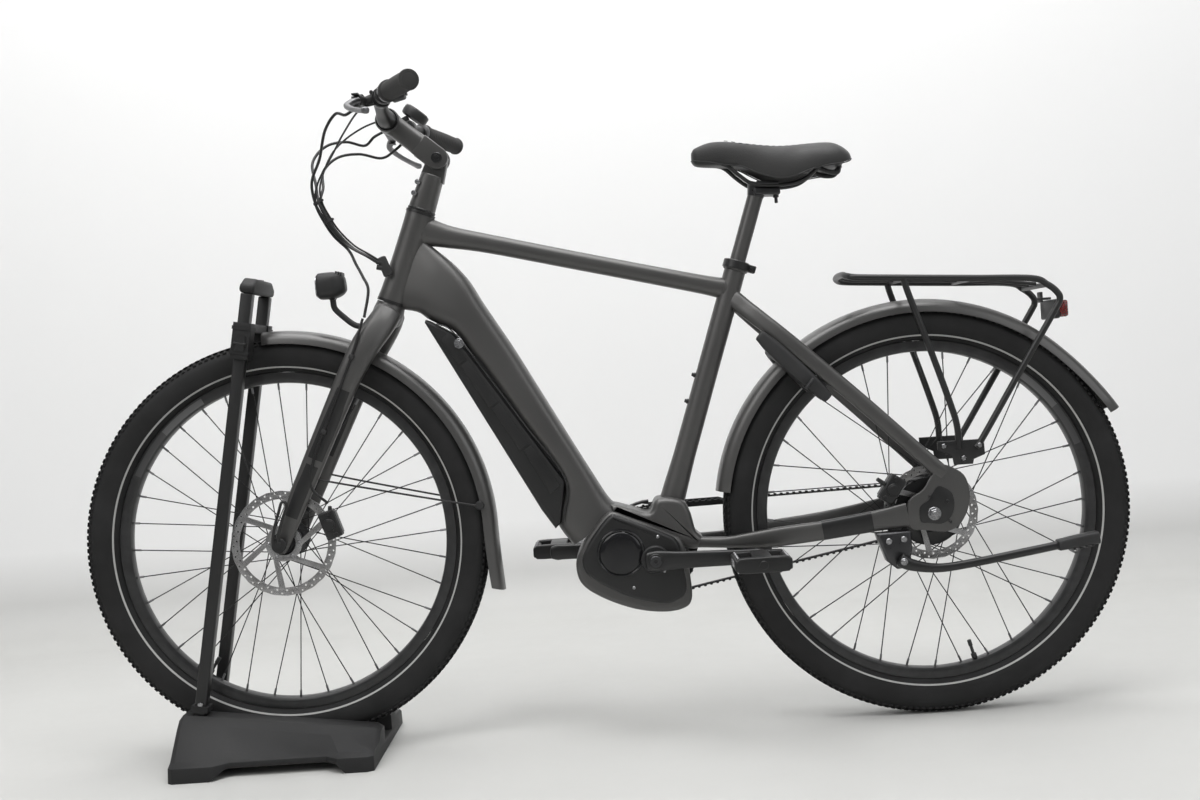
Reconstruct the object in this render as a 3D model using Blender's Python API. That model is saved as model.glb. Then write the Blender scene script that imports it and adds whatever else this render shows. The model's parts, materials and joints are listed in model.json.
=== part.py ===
"""Trekking e-bike in a front-wheel floor stand: every sub-part as its own closed solid.

Metres, +Z up, +X to the bicycle's rear, +Y to its right-hand (belt) side.
The origin is on the floor under the middle of the object.
"""

import math

import bmesh
import bpy
from mathutils import Matrix, Vector

Y_AXIS = Vector((0, 1, 0))

# Driving dimensions ---------------------------------------------------------------
GAP = 0.0003                # clearance between fitted solids
WHEELBASE = 1.103
TYRE_R = 0.350              # outer radius of both tyres
TYRE_HALF = 0.0285          # half of the tyre's width
BEAD_R = 0.292              # bead seat, half of 584 mm
RIM_INNER_R = 0.273
RIM_HALF = 0.0125
WHEEL_LIFT = 0.020          # the front wheel stands this high in the stand
ROTOR_Y = -0.0455           # plane of both brake discs
ROTOR_T = 0.0018
FRONT_ROTOR_R = 0.090
REAR_ROTOR_R = 0.080
SPOKES_PER_FLANGE = 18
WHEEL_SEGMENTS = 32         # rim and tyre share their facets
FRONT_FLANGE_R, FRONT_FLANGE_Y = 0.029, 0.030
REAR_FLANGE_R, REAR_FLANGE_Y = 0.058, 0.031
SPOKE_HALF = 0.0010
AXLE_R = 0.0060

HEAD_ANGLE = math.radians(68.0)
HEAD_MID = Vector((-0.3145, 0.0, 0.8445))
HEAD_HALF = 0.083           # half of the head tube's length
HEAD_R = 0.0240
STEERER_R = 0.0143
SEAT_ANGLE = math.radians(70.9)
SEAT_TOP = Vector((0.2550, 0.0, 0.7960))
SEAT_LENGTH = 0.440
SEAT_TUBE_R = 0.0185
SEAT_POST_R = 0.0136
RAIL_R = 0.0035
SEAT_POST_OUT = 0.124       # length of seat post that shows above the frame
SEAT_POST_IN = 0.110        # length that sits inside the seat tube
TOP_TUBE_R = 0.0158
DOWN_TUBE_HALF = 0.038      # half of the down tube's width
STAY_Y = 0.067              # plane of the rear dropouts
DROPOUT_T = 0.008

CRANK = Vector((0.079, 0.0, 0.303))
CRANK_LENGTH = 0.170
CRANK_Y = 0.084             # middle plane of the crank arms
CRANK_T = 0.014
SPINDLE_R = 0.0115
PEDAL_WIDTH = 0.092
BELT_Y = 0.047
BELT_HALF = 0.0055
BELT_T = 0.0042
BELT_CLEAR = 0.0008         # between the belt and its sprockets
FRONT_PITCH_R = 46 * 0.011 / (2 * math.pi)
REAR_PITCH_R = 24 * 0.011 / (2 * math.pi)

GUARD_R = 0.3645            # outer radius of both mudguards at the crown
GUARD_HALF = 0.0325
GUARD_T = 0.0024
RACK_TUBE_R = 0.0055
RACK_HALF = 0.068

POST_HALF = 0.0100          # half side of the stand's square posts
POST_Y = 0.0575
POST_FOOT = Vector((-0.7110, 0.0, 0.0880))
POST_LENGTH = 0.722
POST_LEAN = math.radians(10.6)
CHANNEL_HALF = 0.0355

BAR_CENTRE = Vector((-0.328, 0.0, 1.080))
BAR_R = 0.0111
BAR_CLAMP_R = 0.0159        # the bar swells to this inside the stem
GRIP_R = 0.0155
GRIP_LENGTH = 0.125
STEM_PIVOT = Vector((-0.2480, 0.0, 1.0100))
HOSE_R = 0.0025

REAR = Vector((WHEELBASE / 2, 0.0, TYRE_R))
FRONT = Vector((-WHEELBASE / 2, 0.0, TYRE_R + WHEEL_LIFT))
HEAD_AXIS = Vector((math.cos(HEAD_ANGLE), 0.0, math.sin(HEAD_ANGLE)))
HEAD_NORMAL = Vector((-math.sin(HEAD_ANGLE), 0.0, math.cos(HEAD_ANGLE)))
SEAT_AXIS = Vector((math.cos(SEAT_ANGLE), 0.0, math.sin(SEAT_ANGLE)))
POST_AXIS = Vector((math.sin(POST_LEAN), 0.0, math.cos(POST_LEAN)))
POST_NORMAL = Vector((math.cos(POST_LEAN), 0.0, -math.sin(POST_LEAN)))

FINISHES = {  # colour, roughness, metallic
    "frame_grey": ((0.105, 0.105, 0.108), 0.42, 0.55),
    "black_paint": ((0.020, 0.020, 0.021), 0.38, 0.0),
    "black_plastic": ((0.028, 0.028, 0.029), 0.55, 0.0),
    "rubber": ((0.022, 0.022, 0.023), 0.78, 0.0),
    "steel": ((0.46, 0.46, 0.47), 0.30, 1.0),
    "alloy": ((0.30, 0.30, 0.31), 0.38, 1.0),
    "lamp": ((0.65, 0.66, 0.68), 0.12, 0.0),
    "red_lens": ((0.22, 0.02, 0.02), 0.18, 0.0),
    "saddle_cover": ((0.030, 0.029, 0.029), 0.62, 0.0),
}


# Scene helpers --------------------------------------------------------------------
def clear_scene():
    for item in list(bpy.data.objects):
        bpy.data.objects.remove(item, do_unlink=True)


def finish(name):
    found = bpy.data.materials.get(name)
    if found:
        return found
    colour, rough, metal = FINISHES[name]
    made = bpy.data.materials.new(name)
    made.use_nodes = True
    shader = made.node_tree.nodes["Principled BSDF"]
    shader.inputs["Base Color"].default_value = (*colour, 1.0)
    shader.inputs["Roughness"].default_value = rough
    shader.inputs["Metallic"].default_value = metal
    return made


def pivot(name, place):
    """An empty on a joint's axis, which the pieces of that joint hang from."""
    empty = bpy.data.objects.new(name, None)
    empty.location = place
    bpy.context.scene.collection.objects.link(empty)
    return empty


def solid(name, shape, finish_name, parent=None):
    """One named object from a bmesh in object coordinates, hung from its pivot."""
    origin = parent.location.copy() if parent else Vector()
    bmesh.ops.translate(shape, verts=shape.verts, vec=-origin)
    bmesh.ops.recalc_face_normals(shape, faces=shape.faces)
    mesh = bpy.data.meshes.new(name)
    shape.to_mesh(mesh)
    shape.free()
    mesh.materials.append(finish(finish_name))
    mesh.shade_smooth()
    mesh.set_sharp_from_angle(angle=math.radians(40))
    made = bpy.data.objects.new(name, mesh)
    bpy.context.scene.collection.objects.link(made)
    if parent:
        made.parent = parent
    return made


def helper(shape):
    """A hidden cutter or a hidden shape to be joined to another."""
    made = solid("helper", shape, "steel")
    made.hide_render = True
    made.display_type = "WIRE"
    return made


def boolean(target, shape, operation):
    step = target.modifiers.new(operation.title(), "BOOLEAN")
    step.operation = operation
    step.object = helper(shape)
    return target


def cut(target, *shapes):
    for shape in shapes:
        boolean(target, shape, "DIFFERENCE")
    return target


def join(target, *shapes):
    for shape in shapes:
        boolean(target, shape, "UNION")
    return target


# Shape helpers --------------------------------------------------------------------
def ring(centre, side, up, half_side, half_up, count=12, power=2.0):
    """Points of a superellipse round a centre; a high power makes it squarer."""
    points = []
    for i in range(count):
        angle = 2 * math.pi * (i + 0.5) / count
        c, s = math.cos(angle), math.sin(angle)
        a = math.copysign(abs(c) ** (2 / power), c) * half_side
        b = math.copysign(abs(s) ** (2 / power), s) * half_up
        points.append(centre + side * a + up * b)
    return points


def loft(rings, closed=False):
    shape = bmesh.new()
    rows = [[shape.verts.new(p) for p in r] for r in rings]
    pairs = list(zip(rows, rows[1:]))
    if closed:
        pairs.append((rows[-1], rows[0]))
    for a, b in pairs:
        for i in range(len(a)):
            j = (i + 1) % len(a)
            shape.faces.new((a[i], a[j], b[j], b[i]))
    if not closed:
        shape.faces.new(rows[0])
        shape.faces.new(list(reversed(rows[-1])))
    bmesh.ops.recalc_face_normals(shape, faces=shape.faces)
    return shape


def tube(stations, count=12, power=2.0, lateral=Y_AXIS):
    """A swept tube: each station is (point, half width across, half height)."""
    points = [Vector(s[0]) for s in stations]
    rings = []
    for i, station in enumerate(stations):
        ahead = points[min(i + 1, len(points) - 1)] - points[max(i - 1, 0)]
        ahead.normalize()
        up = ahead.cross(lateral)
        if up.length < 1e-6:
            up = Vector((0, 0, 1))
        up.normalize()
        side = up.cross(ahead).normalized()
        rings.append(ring(points[i], side, up, station[1], station[2], count, power))
    return loft(rings)


def rod(start, end, radius, count=12, end_radius=None):
    """A round bar between two points."""
    start, end = Vector(start), Vector(end)
    ahead = (end - start).normalized()
    side = ahead.orthogonal().normalized()
    up = ahead.cross(side)
    last = radius if end_radius is None else end_radius
    return loft([ring(start, side, up, radius, radius, count),
                 ring(end, side, up, last, last, count)])


def turned(profile, centre, axis, count=32):
    """Turns closed (radius, height) points round an axis; all radii are above 0."""
    axis = Vector(axis).normalized()
    side = axis.orthogonal().normalized()
    up = axis.cross(side)
    rings = []
    for i in range(count):
        angle = 2 * math.pi * i / count
        out = side * math.cos(angle) + up * math.sin(angle)
        rings.append([Vector(centre) + out * r + axis * h for r, h in profile])
    return loft(rings, closed=True)


def slab(outline, low_y, high_y, edge=0.0):
    """An outline of (x, z) points thickened along Y, with a bevelled rim."""
    shape = bmesh.new()
    face = shape.faces.new([shape.verts.new((x, low_y, z)) for x, z in outline])
    made = bmesh.ops.extrude_face_region(shape, geom=[face])
    moved = [v for v in made["geom"] if isinstance(v, bmesh.types.BMVert)]
    bmesh.ops.translate(shape, verts=moved, vec=(0, high_y - low_y, 0))
    bmesh.ops.recalc_face_normals(shape, faces=shape.faces)
    if edge:
        rims = [e for e in shape.edges if abs(e.verts[0].co.y - e.verts[1].co.y) < 1e-9]
        bmesh.ops.bevel(shape, geom=rims, offset=edge, segments=2, affect="EDGES",
                        profile=0.5)
    return shape


def block(low, high, turn=0.0, about=None):
    """A box, turned by an angle about Y through a point where one is given."""
    shape = bmesh.new()
    bmesh.ops.create_cube(shape, size=1.0)
    low, high = Vector(low), Vector(high)
    bmesh.ops.scale(shape, verts=shape.verts, vec=high - low)
    bmesh.ops.translate(shape, verts=shape.verts, vec=(low + high) / 2)
    if turn:
        bmesh.ops.rotate(shape, verts=shape.verts, cent=about or (low + high) / 2,
                         matrix=Matrix.Rotation(turn, 3, "Y"))
    return shape


def arc(centre, radius, start_deg, end_deg, count):
    """Points on a circle in the XZ plane, from +X towards +Z."""
    return [(centre.x + radius * math.cos(math.radians(a)),
             centre.z + radius * math.sin(math.radians(a)))
            for a in (start_deg + (end_deg - start_deg) * i / count
                      for i in range(count + 1))]


def curve(points, step=0.0130):
    """A smooth run of evenly spaced points through a route's own points."""
    knots = [Vector(p) for p in points]
    knots = [2 * knots[0] - knots[1]] + knots + [2 * knots[-1] - knots[-2]]
    fine = []
    for a, b, c, d in zip(knots, knots[1:], knots[2:], knots[3:]):
        for i in range(24):
            t = i / 24
            fine.append(0.5 * (2 * b + (c - a) * t + (2 * a - 5 * b + 4 * c - d) * t ** 2
                               + (3 * b - a - 3 * c + d) * t ** 3))
    fine.append(knots[-2])
    length = sum((b - a).length for a, b in zip(fine, fine[1:]))
    count = max(2, round(length / step))
    even, run, want = [fine[0]], 0.0, length / count
    for a, b in zip(fine, fine[1:]):
        piece = (b - a).length
        while run + piece >= want * len(even) and len(even) < count:
            even.append(a.lerp(b, (want * len(even) - run) / piece))
        run += piece
    even.append(fine[-1])
    return even


def hose(name, points, radius, parent):
    """A hose as a bevelled curve with filled caps."""
    line = bpy.data.curves.new(name, "CURVE")
    line.dimensions = "3D"
    line.bevel_depth = radius
    line.bevel_resolution = 2
    line.use_fill_caps = True
    run = curve(points)
    path = line.splines.new("POLY")
    path.points.add(len(run) - 1)
    for knot, place in zip(path.points, run):
        knot.co = (*(place - parent.location), 1.0)
    line.materials.append(finish("black_plastic"))
    made = bpy.data.objects.new(name, line)
    bpy.context.scene.collection.objects.link(made)
    made.parent = parent
    return made


def both_sides(shape_of):
    """The left (-1) and right (+1) copies that a function makes."""
    for side, word in ((-1, "left"), (1, "right")):
        shape_of(side, word)


# The stand ------------------------------------------------------------------------
def base_section(x, height, wide):
    """The base's outline across the stand: a skirt, a sloped side and the deck."""
    deck = 0.072
    half = [(wide, 0.0), (wide - 0.004, 0.024), (wide - 0.018, 0.030),
            (deck + 0.016, height - 0.012), (deck, height)]
    return [Vector((x, y, z)) for y, z in half + [(-y, z) for y, z in reversed(half)]]


def make_stand():
    stations = ((-0.744, 0.0840, 0.150), (-0.736, 0.0935, 0.156), (-0.668, 0.0845, 0.156),
                (-0.646, 0.0815, 0.136), (-0.486, 0.0604, 0.136), (-0.464, 0.0575, 0.156),
                (-0.414, 0.0509, 0.156), (-0.404, 0.0440, 0.150))
    base = solid("stand_base", loft([base_section(*s) for s in stations]), "black_plastic")
    arch = [(-0.690, -0.010), (-0.653, 0.0145), (-0.465, 0.0145), (-0.442, -0.010)]
    cut(base, slab(arch, -0.2, 0.2))
    channel = TYRE_R + 0.0012
    sides = arc(FRONT, channel, 180, 360, 40)
    cut(base, slab([(x, z) for x, z in sides if z < 0.2], -CHANNEL_HALF, CHANNEL_HALF))
    cut(base, slab([(FRONT.x, WHEEL_LIFT - 0.0012), (-0.39, WHEEL_LIFT - 0.0012), (-0.39, 0.12),
                    (FRONT.x, 0.12)], -CHANNEL_HALF, CHANNEL_HALF))
    half = (POST_HALF + GAP) * math.sqrt(2)
    for side in (-1, 1):
        low = POST_FOOT - POST_AXIS * 0.0006 + Vector((0, side * POST_Y, 0))
        cut(base, tube([(low, half, half), (low + POST_AXIS * 0.1, half, half)], 4))

    def post(side, word):
        foot = POST_FOOT + Vector((0, side * POST_Y, 0))
        section = POST_HALF * math.sqrt(2)
        solid(f"stand_post_{word}", tube([(foot, section, section),
                                          (foot + POST_AXIS * POST_LENGTH, section, section)], 4),
              "black_paint")
    both_sides(post)

    crown = POST_FOOT + POST_AXIS * (POST_LENGTH + GAP)
    rise = 0.026
    legs = POST_Y + POST_HALF + 0.003
    outline = [(-legs, 0.0), (-legs, rise * 0.55), (-POST_Y + 0.008, rise),
               (POST_Y - 0.008, rise),
               (legs, rise * 0.55), (legs, 0.0)]
    shape = bmesh.new()
    faces = [[shape.verts.new(crown + POST_NORMAL * n * (POST_HALF + 0.003)
                              + Vector((0, y, 0)) + POST_AXIS * h) for y, h in outline]
             for n in (-1, 1)]
    shape.faces.new(faces[0])
    shape.faces.new(list(reversed(faces[1])))
    for i in range(len(outline)):
        j = (i + 1) % len(outline)
        shape.faces.new((faces[0][j], faces[0][i], faces[1][i], faces[1][j]))
    solid("stand_top_cap", shape, "black_plastic")


def make_wheel_rest():
    """The arch that holds the tyre, with a collar sliding on each post."""
    hang = pivot("wheel_rest_pivot", POST_FOOT + POST_AXIS * 0.63)
    centre = POST_FOOT + POST_AXIS * 0.630
    wide = POST_HALF + 0.0050
    arch, inner = centre + POST_AXIS * 0.034, Vector((0, POST_Y - POST_HALF, 0))
    bridge = tube([(arch - inner, wide * 0.9, 0.008), (arch + inner, wide * 0.9, 0.008)],
                  8, 6, lateral=POST_NORMAL)
    rest = solid("wheel_rest", bridge, "black_plastic", hang)
    reach = wide * math.sqrt(2)
    for side in (-1, 1):
        across = Vector((0, side * POST_Y, 0))
        join(rest, tube([(centre + across - POST_AXIS * 0.020, reach, reach),
                         (centre + across + POST_AXIS * 0.042, reach, reach)], 4))
    bore = (POST_HALF + GAP) * math.sqrt(2)
    for side in (-1, 1):
        across = Vector((0, side * POST_Y, 0))
        cut(rest, tube([(centre + across - POST_AXIS * 0.1, bore, bore),
                        (centre + across + POST_AXIS * 0.1, bore, bore)], 4))


# Wheels ---------------------------------------------------------------------------
def make_tyre(name, hub, parent):
    outer = [(BEAD_R + GAP, 0.0125), (0.303, 0.0235), (0.323, TYRE_HALF), (0.3395, 0.0240),
             (0.3480, 0.0120), (TYRE_R, 0.0)]
    inner = [(BEAD_R + GAP, 0.0085), (0.310, 0.0220), (0.332, 0.0220), (0.3440, 0.0)]
    loop = outer + [(r, -y) for r, y in reversed(outer[:-1])]
    loop += [(r, -y) for r, y in inner] + [(r, y) for r, y in reversed(inner[:-1])]
    solid(name, turned(loop, hub, (0, 1, 0), WHEEL_SEGMENTS), "rubber", parent)


def make_rim(name, hub, parent):
    half = RIM_HALF
    loop = [(RIM_INNER_R, -0.007), (0.2765, -half), (BEAD_R, -half), (0.288, -0.006),
            (0.288, 0.006), (BEAD_R, half), (0.2765, half), (RIM_INNER_R, 0.007)]
    solid(name, turned(loop, hub, (0, 1, 0), WHEEL_SEGMENTS), "black_paint", parent)


def make_hub(name, hub, flange_r, flange_y, shell_r, ends, cross_deg, parent):
    """A hub shell whose flange faces grow into the laced spokes."""
    rim, lip = 0.0022, 0.0012
    profile = [(AXLE_R + GAP, ends[0]), (flange_r * 0.55, ends[0]),
               (flange_r, -flange_y - rim + lip), (flange_r, -flange_y + rim - lip),
               (shell_r, -flange_y + 2 * rim), (shell_r, flange_y - 2 * rim),
               (flange_r, flange_y - rim + lip), (flange_r, flange_y + rim - lip),
               (flange_r * 0.55, ends[1]), (AXLE_R + GAP, ends[1])]
    count = 2 * SPOKES_PER_FLANGE
    rings = []
    for i in range(count):
        angle = 2 * math.pi * i / count
        out = Vector((math.cos(angle), 0, math.sin(angle)))
        rings.append([hub + out * r + Vector((0, y, 0)) for r, y in profile])
    shape = loft(rings, closed=True)
    shape.faces.ensure_lookup_table()
    for side in (-1, 1):
        ring_faces = []
        for face in shape.faces:
            middle = face.calc_center_median() - hub
            radial = math.hypot(middle.x, middle.z)
            on_flange = abs(abs(middle.y) - flange_y) < lip and radial > flange_r * 0.98
            if on_flange and middle.y * side > 0:
                ring_faces.append((math.atan2(middle.z, middle.x), face))
        ring_faces.sort(key=lambda item: item[0])
        for index, (angle, face) in enumerate(ring_faces[(1 + side) // 2::2]):
            lean = math.radians(cross_deg) * (1 if index % 2 else -1)
            grow_spoke(shape, face, hub, angle, angle + lean, side, flange_y, flange_r, index % 2)
    solid(name, shape, "alloy", parent)


def grow_spoke(shape, face, hub, root_angle, rim_angle, side, flange_y, flange_r, outer):
    """Shrinks one flange face to a spoke's section and draws it out to the rim."""
    along = Vector((math.cos(root_angle), 0, math.sin(root_angle)))
    tip_along = Vector((math.cos(rim_angle), 0, math.sin(rim_angle)))
    root_y = side * (flange_y + (0.0009 if outer else -0.0009))
    root = hub + along * (flange_r + 0.0006) + Vector((0, root_y, 0))
    tip = hub + tip_along * (RIM_INNER_R - 0.0024) + Vector((0, side * 0.003, 0))
    ahead = (tip - root).normalized()
    across = ahead.cross(Y_AXIS).normalized()
    for place in (root + ahead * 0.0022, tip):
        made = bmesh.ops.extrude_discrete_faces(shape, faces=[face])
        face = made["faces"][0]
        middle = face.calc_center_median()
        for vert in face.verts:
            offset = vert.co - middle
            a = math.copysign(SPOKE_HALF, offset.dot(across))
            b = math.copysign(SPOKE_HALF, offset.y)
            vert.co = place + across * a + Y_AXIS * b


def make_rotor(name, hub, radius, parent):
    """A brake disc: friction ring, inner ring and slanted arms."""
    low, high = ROTOR_Y - ROTOR_T / 2, ROTOR_Y + ROTOR_T / 2
    ring_loop = [(radius - 0.014, low), (radius, low), (radius, high), (radius - 0.014, high)]
    disc = solid(name, turned(ring_loop, hub, (0, 1, 0), 32), "steel", parent)
    hub_loop = [(0.0225, low), (0.033, low), (0.033, high), (0.0225, high)]
    join(disc, turned(hub_loop, hub, (0, 1, 0), 24))
    for i in range(6):
        a, b = math.radians(60 * i), math.radians(60 * i + 32)
        start = hub + Vector((math.cos(a), 0, math.sin(a))) * 0.029
        end = hub + Vector((math.cos(b), 0, math.sin(b))) * (radius - 0.008)
        middle = Vector((0, ROTOR_Y, 0))
        thin = ROTOR_T / 2 * 0.99 * math.sqrt(2)
        join(disc, tube([(start + middle, thin, 0.0071), (end + middle, thin, 0.0054)], 4))


def make_caliper(name, hub, angle_deg, radius, parent):
    """A two-piston caliper straddling its disc, with a slot for the disc."""
    angle = math.radians(angle_deg)
    centre = hub + Vector((math.cos(angle), 0, math.sin(angle))) * (radius - 0.002)
    low = centre + Vector((-0.016, ROTOR_Y - 0.014, -0.026))
    high = centre + Vector((0.014, ROTOR_Y + 0.012, 0.026))
    body = block(low, high, turn=-angle, about=centre)
    bmesh.ops.bevel(body, geom=body.edges[:], offset=0.004, segments=1, affect="EDGES")
    made = solid(name, body, "black_paint", parent)
    slot_low = centre + Vector((-0.030, ROTOR_Y - 0.0018, -0.050))
    slot_high = centre + Vector((0.006, ROTOR_Y + 0.0018, 0.050))
    cut(made, block(slot_low, slot_high, turn=-angle, about=centre))
    return made


def make_guard(name, hub, start_deg, end_deg, parent, flap=0.0):
    """A mudguard: an arched section carried round the wheel."""
    outer = [(-GUARD_HALF, -0.0235), (-0.0280, -0.0095), (-0.0120, -0.0012),
             (0.0120, -0.0012), (0.0280, -0.0095), (GUARD_HALF, -0.0235)]
    inner = [(y * (1 - GUARD_T / GUARD_HALF), r - GUARD_T * (1 - abs(y) / GUARD_HALF * 0.85))
             for y, r in reversed(outer)]
    section = outer + inner
    count = 20
    rings = []
    for i in range(count + 1):
        t = i / count
        angle = math.radians(start_deg + (end_deg - start_deg) * t)
        out = Vector((math.cos(angle), 0, math.sin(angle)))
        lifted = flap * max(0.0, (0.16 - t) / 0.16) ** 2
        rings.append([hub + out * (GUARD_R + r + lifted) + Vector((0, y, 0)) for y, r in section])
    return solid(name, loft(rings), "frame_grey", parent)


def make_front_wheel(steering):
    wheel = pivot("front_wheel_pivot", FRONT)
    make_tyre("front_tyre", FRONT, wheel)
    make_rim("front_rim", FRONT, wheel)
    make_hub("front_hub", FRONT, FRONT_FLANGE_R, FRONT_FLANGE_Y, 0.0185, (-0.0440, 0.0455), 60,
             wheel)
    make_rotor("front_rotor", FRONT, FRONT_ROTOR_R, wheel)
    shaft = rod(FRONT + Vector((0, -0.0745, 0)), FRONT + Vector((0, 0.0640, 0)), AXLE_R - 0.0004)
    axle = solid("front_axle", shaft, "black_paint", pivot("front_axle_pivot", FRONT))
    root = FRONT + Vector((0, -0.0725, 0))
    join(axle, rod(root + Vector((0, -0.008, 0)), root + Vector((0, 0.002, 0)), 0.0125))
    join(axle, tube([(root + Vector((-0.002, -0.004, 0)), 0.0035, 0.007),
                     (root + Vector((0.006, -0.007, 0.030)), 0.0035, 0.0065),
                     (root + Vector((0.017, -0.010, 0.062)), 0.0030, 0.0055)], 8, 3))
    make_caliper("front_caliper", FRONT, 18, FRONT_ROTOR_R, steering)


def make_rear_wheel(frame):
    wheel = pivot("rear_wheel_pivot", REAR)
    make_tyre("rear_tyre", REAR, wheel)
    make_rim("rear_rim", REAR, wheel)
    make_hub("rear_hub", REAR, REAR_FLANGE_R, REAR_FLANGE_Y, 0.0500, (-0.0440, 0.0385), 60, wheel)
    make_rotor("rear_rotor", REAR, REAR_ROTOR_R, wheel)
    half = Vector((0, 0.082, 0))
    solid("rear_axle", rod(REAR - half, REAR + half, AXLE_R - 0.0004), "steel", frame)
    make_caliper("rear_caliper", REAR, 146, REAR_ROTOR_R, frame)


# Frame ----------------------------------------------------------------------------
def head_point(along, ahead=0.0):
    """A point measured up the steering axis from the head tube's middle, and behind it."""
    return HEAD_MID + HEAD_AXIS * along - HEAD_NORMAL * ahead


def make_head_and_seat(frame):
    pipe = [(STEERER_R + 0.0022, -HEAD_HALF), (HEAD_R + 0.001, -HEAD_HALF), (HEAD_R, 0.0),
            (HEAD_R - 0.0005, HEAD_HALF), (STEERER_R + 0.0022, HEAD_HALF)]
    solid("head_tube", turned(pipe, HEAD_MID, HEAD_AXIS, 24), "frame_grey", frame)
    bore = SEAT_POST_R + GAP
    pipe = [(bore, -SEAT_LENGTH), (0.0215, -SEAT_LENGTH), (SEAT_TUBE_R, -SEAT_LENGTH * 0.78),
            (SEAT_TUBE_R, -0.012), (SEAT_TUBE_R + 0.003, -0.012), (SEAT_TUBE_R + 0.003, 0.004),
            (bore, 0.004)]
    solid("seat_tube", turned(pipe, SEAT_TOP, SEAT_AXIS, 20), "frame_grey", frame)


def seat_cutter(extra=GAP):
    return rod(SEAT_TOP - SEAT_AXIS * (SEAT_LENGTH + 0.03), SEAT_TOP + SEAT_AXIS * 0.1,
               SEAT_TUBE_R + 0.003 + extra, 20)


def head_cutter(extra=GAP):
    return rod(head_point(-0.12), head_point(0.12), HEAD_R + 0.001 + extra, 24)


def make_main_tubes(frame):
    head_end, seat_end = Vector((-0.285, 0, 0.889)), Vector((0.240, 0, 0.751))
    line = seat_end - head_end
    top = tube([(head_end, 0.0175, 0.0225), (head_end + line * 0.11, 0.0165, 0.0190),
                (head_end + line * 0.25, TOP_TUBE_R, TOP_TUBE_R),
                (seat_end, TOP_TUBE_R, TOP_TUBE_R)], 12, 2.3)
    cut(solid("top_tube", top, "frame_grey", frame), head_cutter(), seat_cutter())

    upper = [(-0.262, 0.8560), (-0.222, 0.8170), (-0.200, 0.7840), (-0.175, 0.7350),
             (-0.021, 0.4570), (0.000, 0.4140), (0.014, 0.4000), (0.070, 0.3790), (0.100, 0.3650)]
    nose = [(0.108, 0.3470), (0.010, 0.3925), (-0.0500, 0.3310)]
    seam = [(-0.0745, 0.3660), (-0.064, 0.4450), (-0.188, 0.6370), (-0.238, 0.7100),
            (-0.284, 0.7370)]
    crown = [(-0.315, 0.7500), (-0.290, 0.8400)]
    shell = slab(upper + nose + seam + crown, -DOWN_TUBE_HALF, DOWN_TUBE_HALF, 0.010)
    down = solid("down_tube", shell, "frame_grey", frame)
    along = Vector((0.124, 0, -0.192)).normalized()
    inward = Vector((-along.z, 0, along.x))
    start = Vector((-0.207, 0, 0.672))
    pocket = [start - inward * 0.05, start + inward * 0.033,
              start + inward * 0.033 + along * 0.268, start - inward * 0.05 + along * 0.268]
    cut(down, head_cutter(), slab([(p.x, p.z) for p in pocket], -0.029, 0.029))

    hinge = pivot("battery_pivot", (-0.0830, 0, 0.3740))
    cover = [(-0.0760, 0.3730), (-0.0650, 0.4430), (-0.1885, 0.6350), (-0.2385, 0.7080),
             (-0.2840, 0.7350), (-0.2860, 0.7300), (-0.2620, 0.6880), (-0.1080, 0.3960),
             (-0.0865, 0.3630)]
    cover = [(x - 0.0006, z - 0.0005) for x, z in cover]
    battery = solid("battery",
                    slab(cover, -DOWN_TUBE_HALF + 0.001, DOWN_TUBE_HALF - 0.001, 0.006),
                    "black_plastic", hinge)
    pack = [start + along * 0.006 - inward * 0.012, start + along * 0.006 + inward * 0.026,
            start + inward * 0.026 + along * 0.250, start - inward * 0.012 + along * 0.250]
    join(battery, slab([(p.x, p.z) for p in pack], -0.0265, 0.0265))


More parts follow.
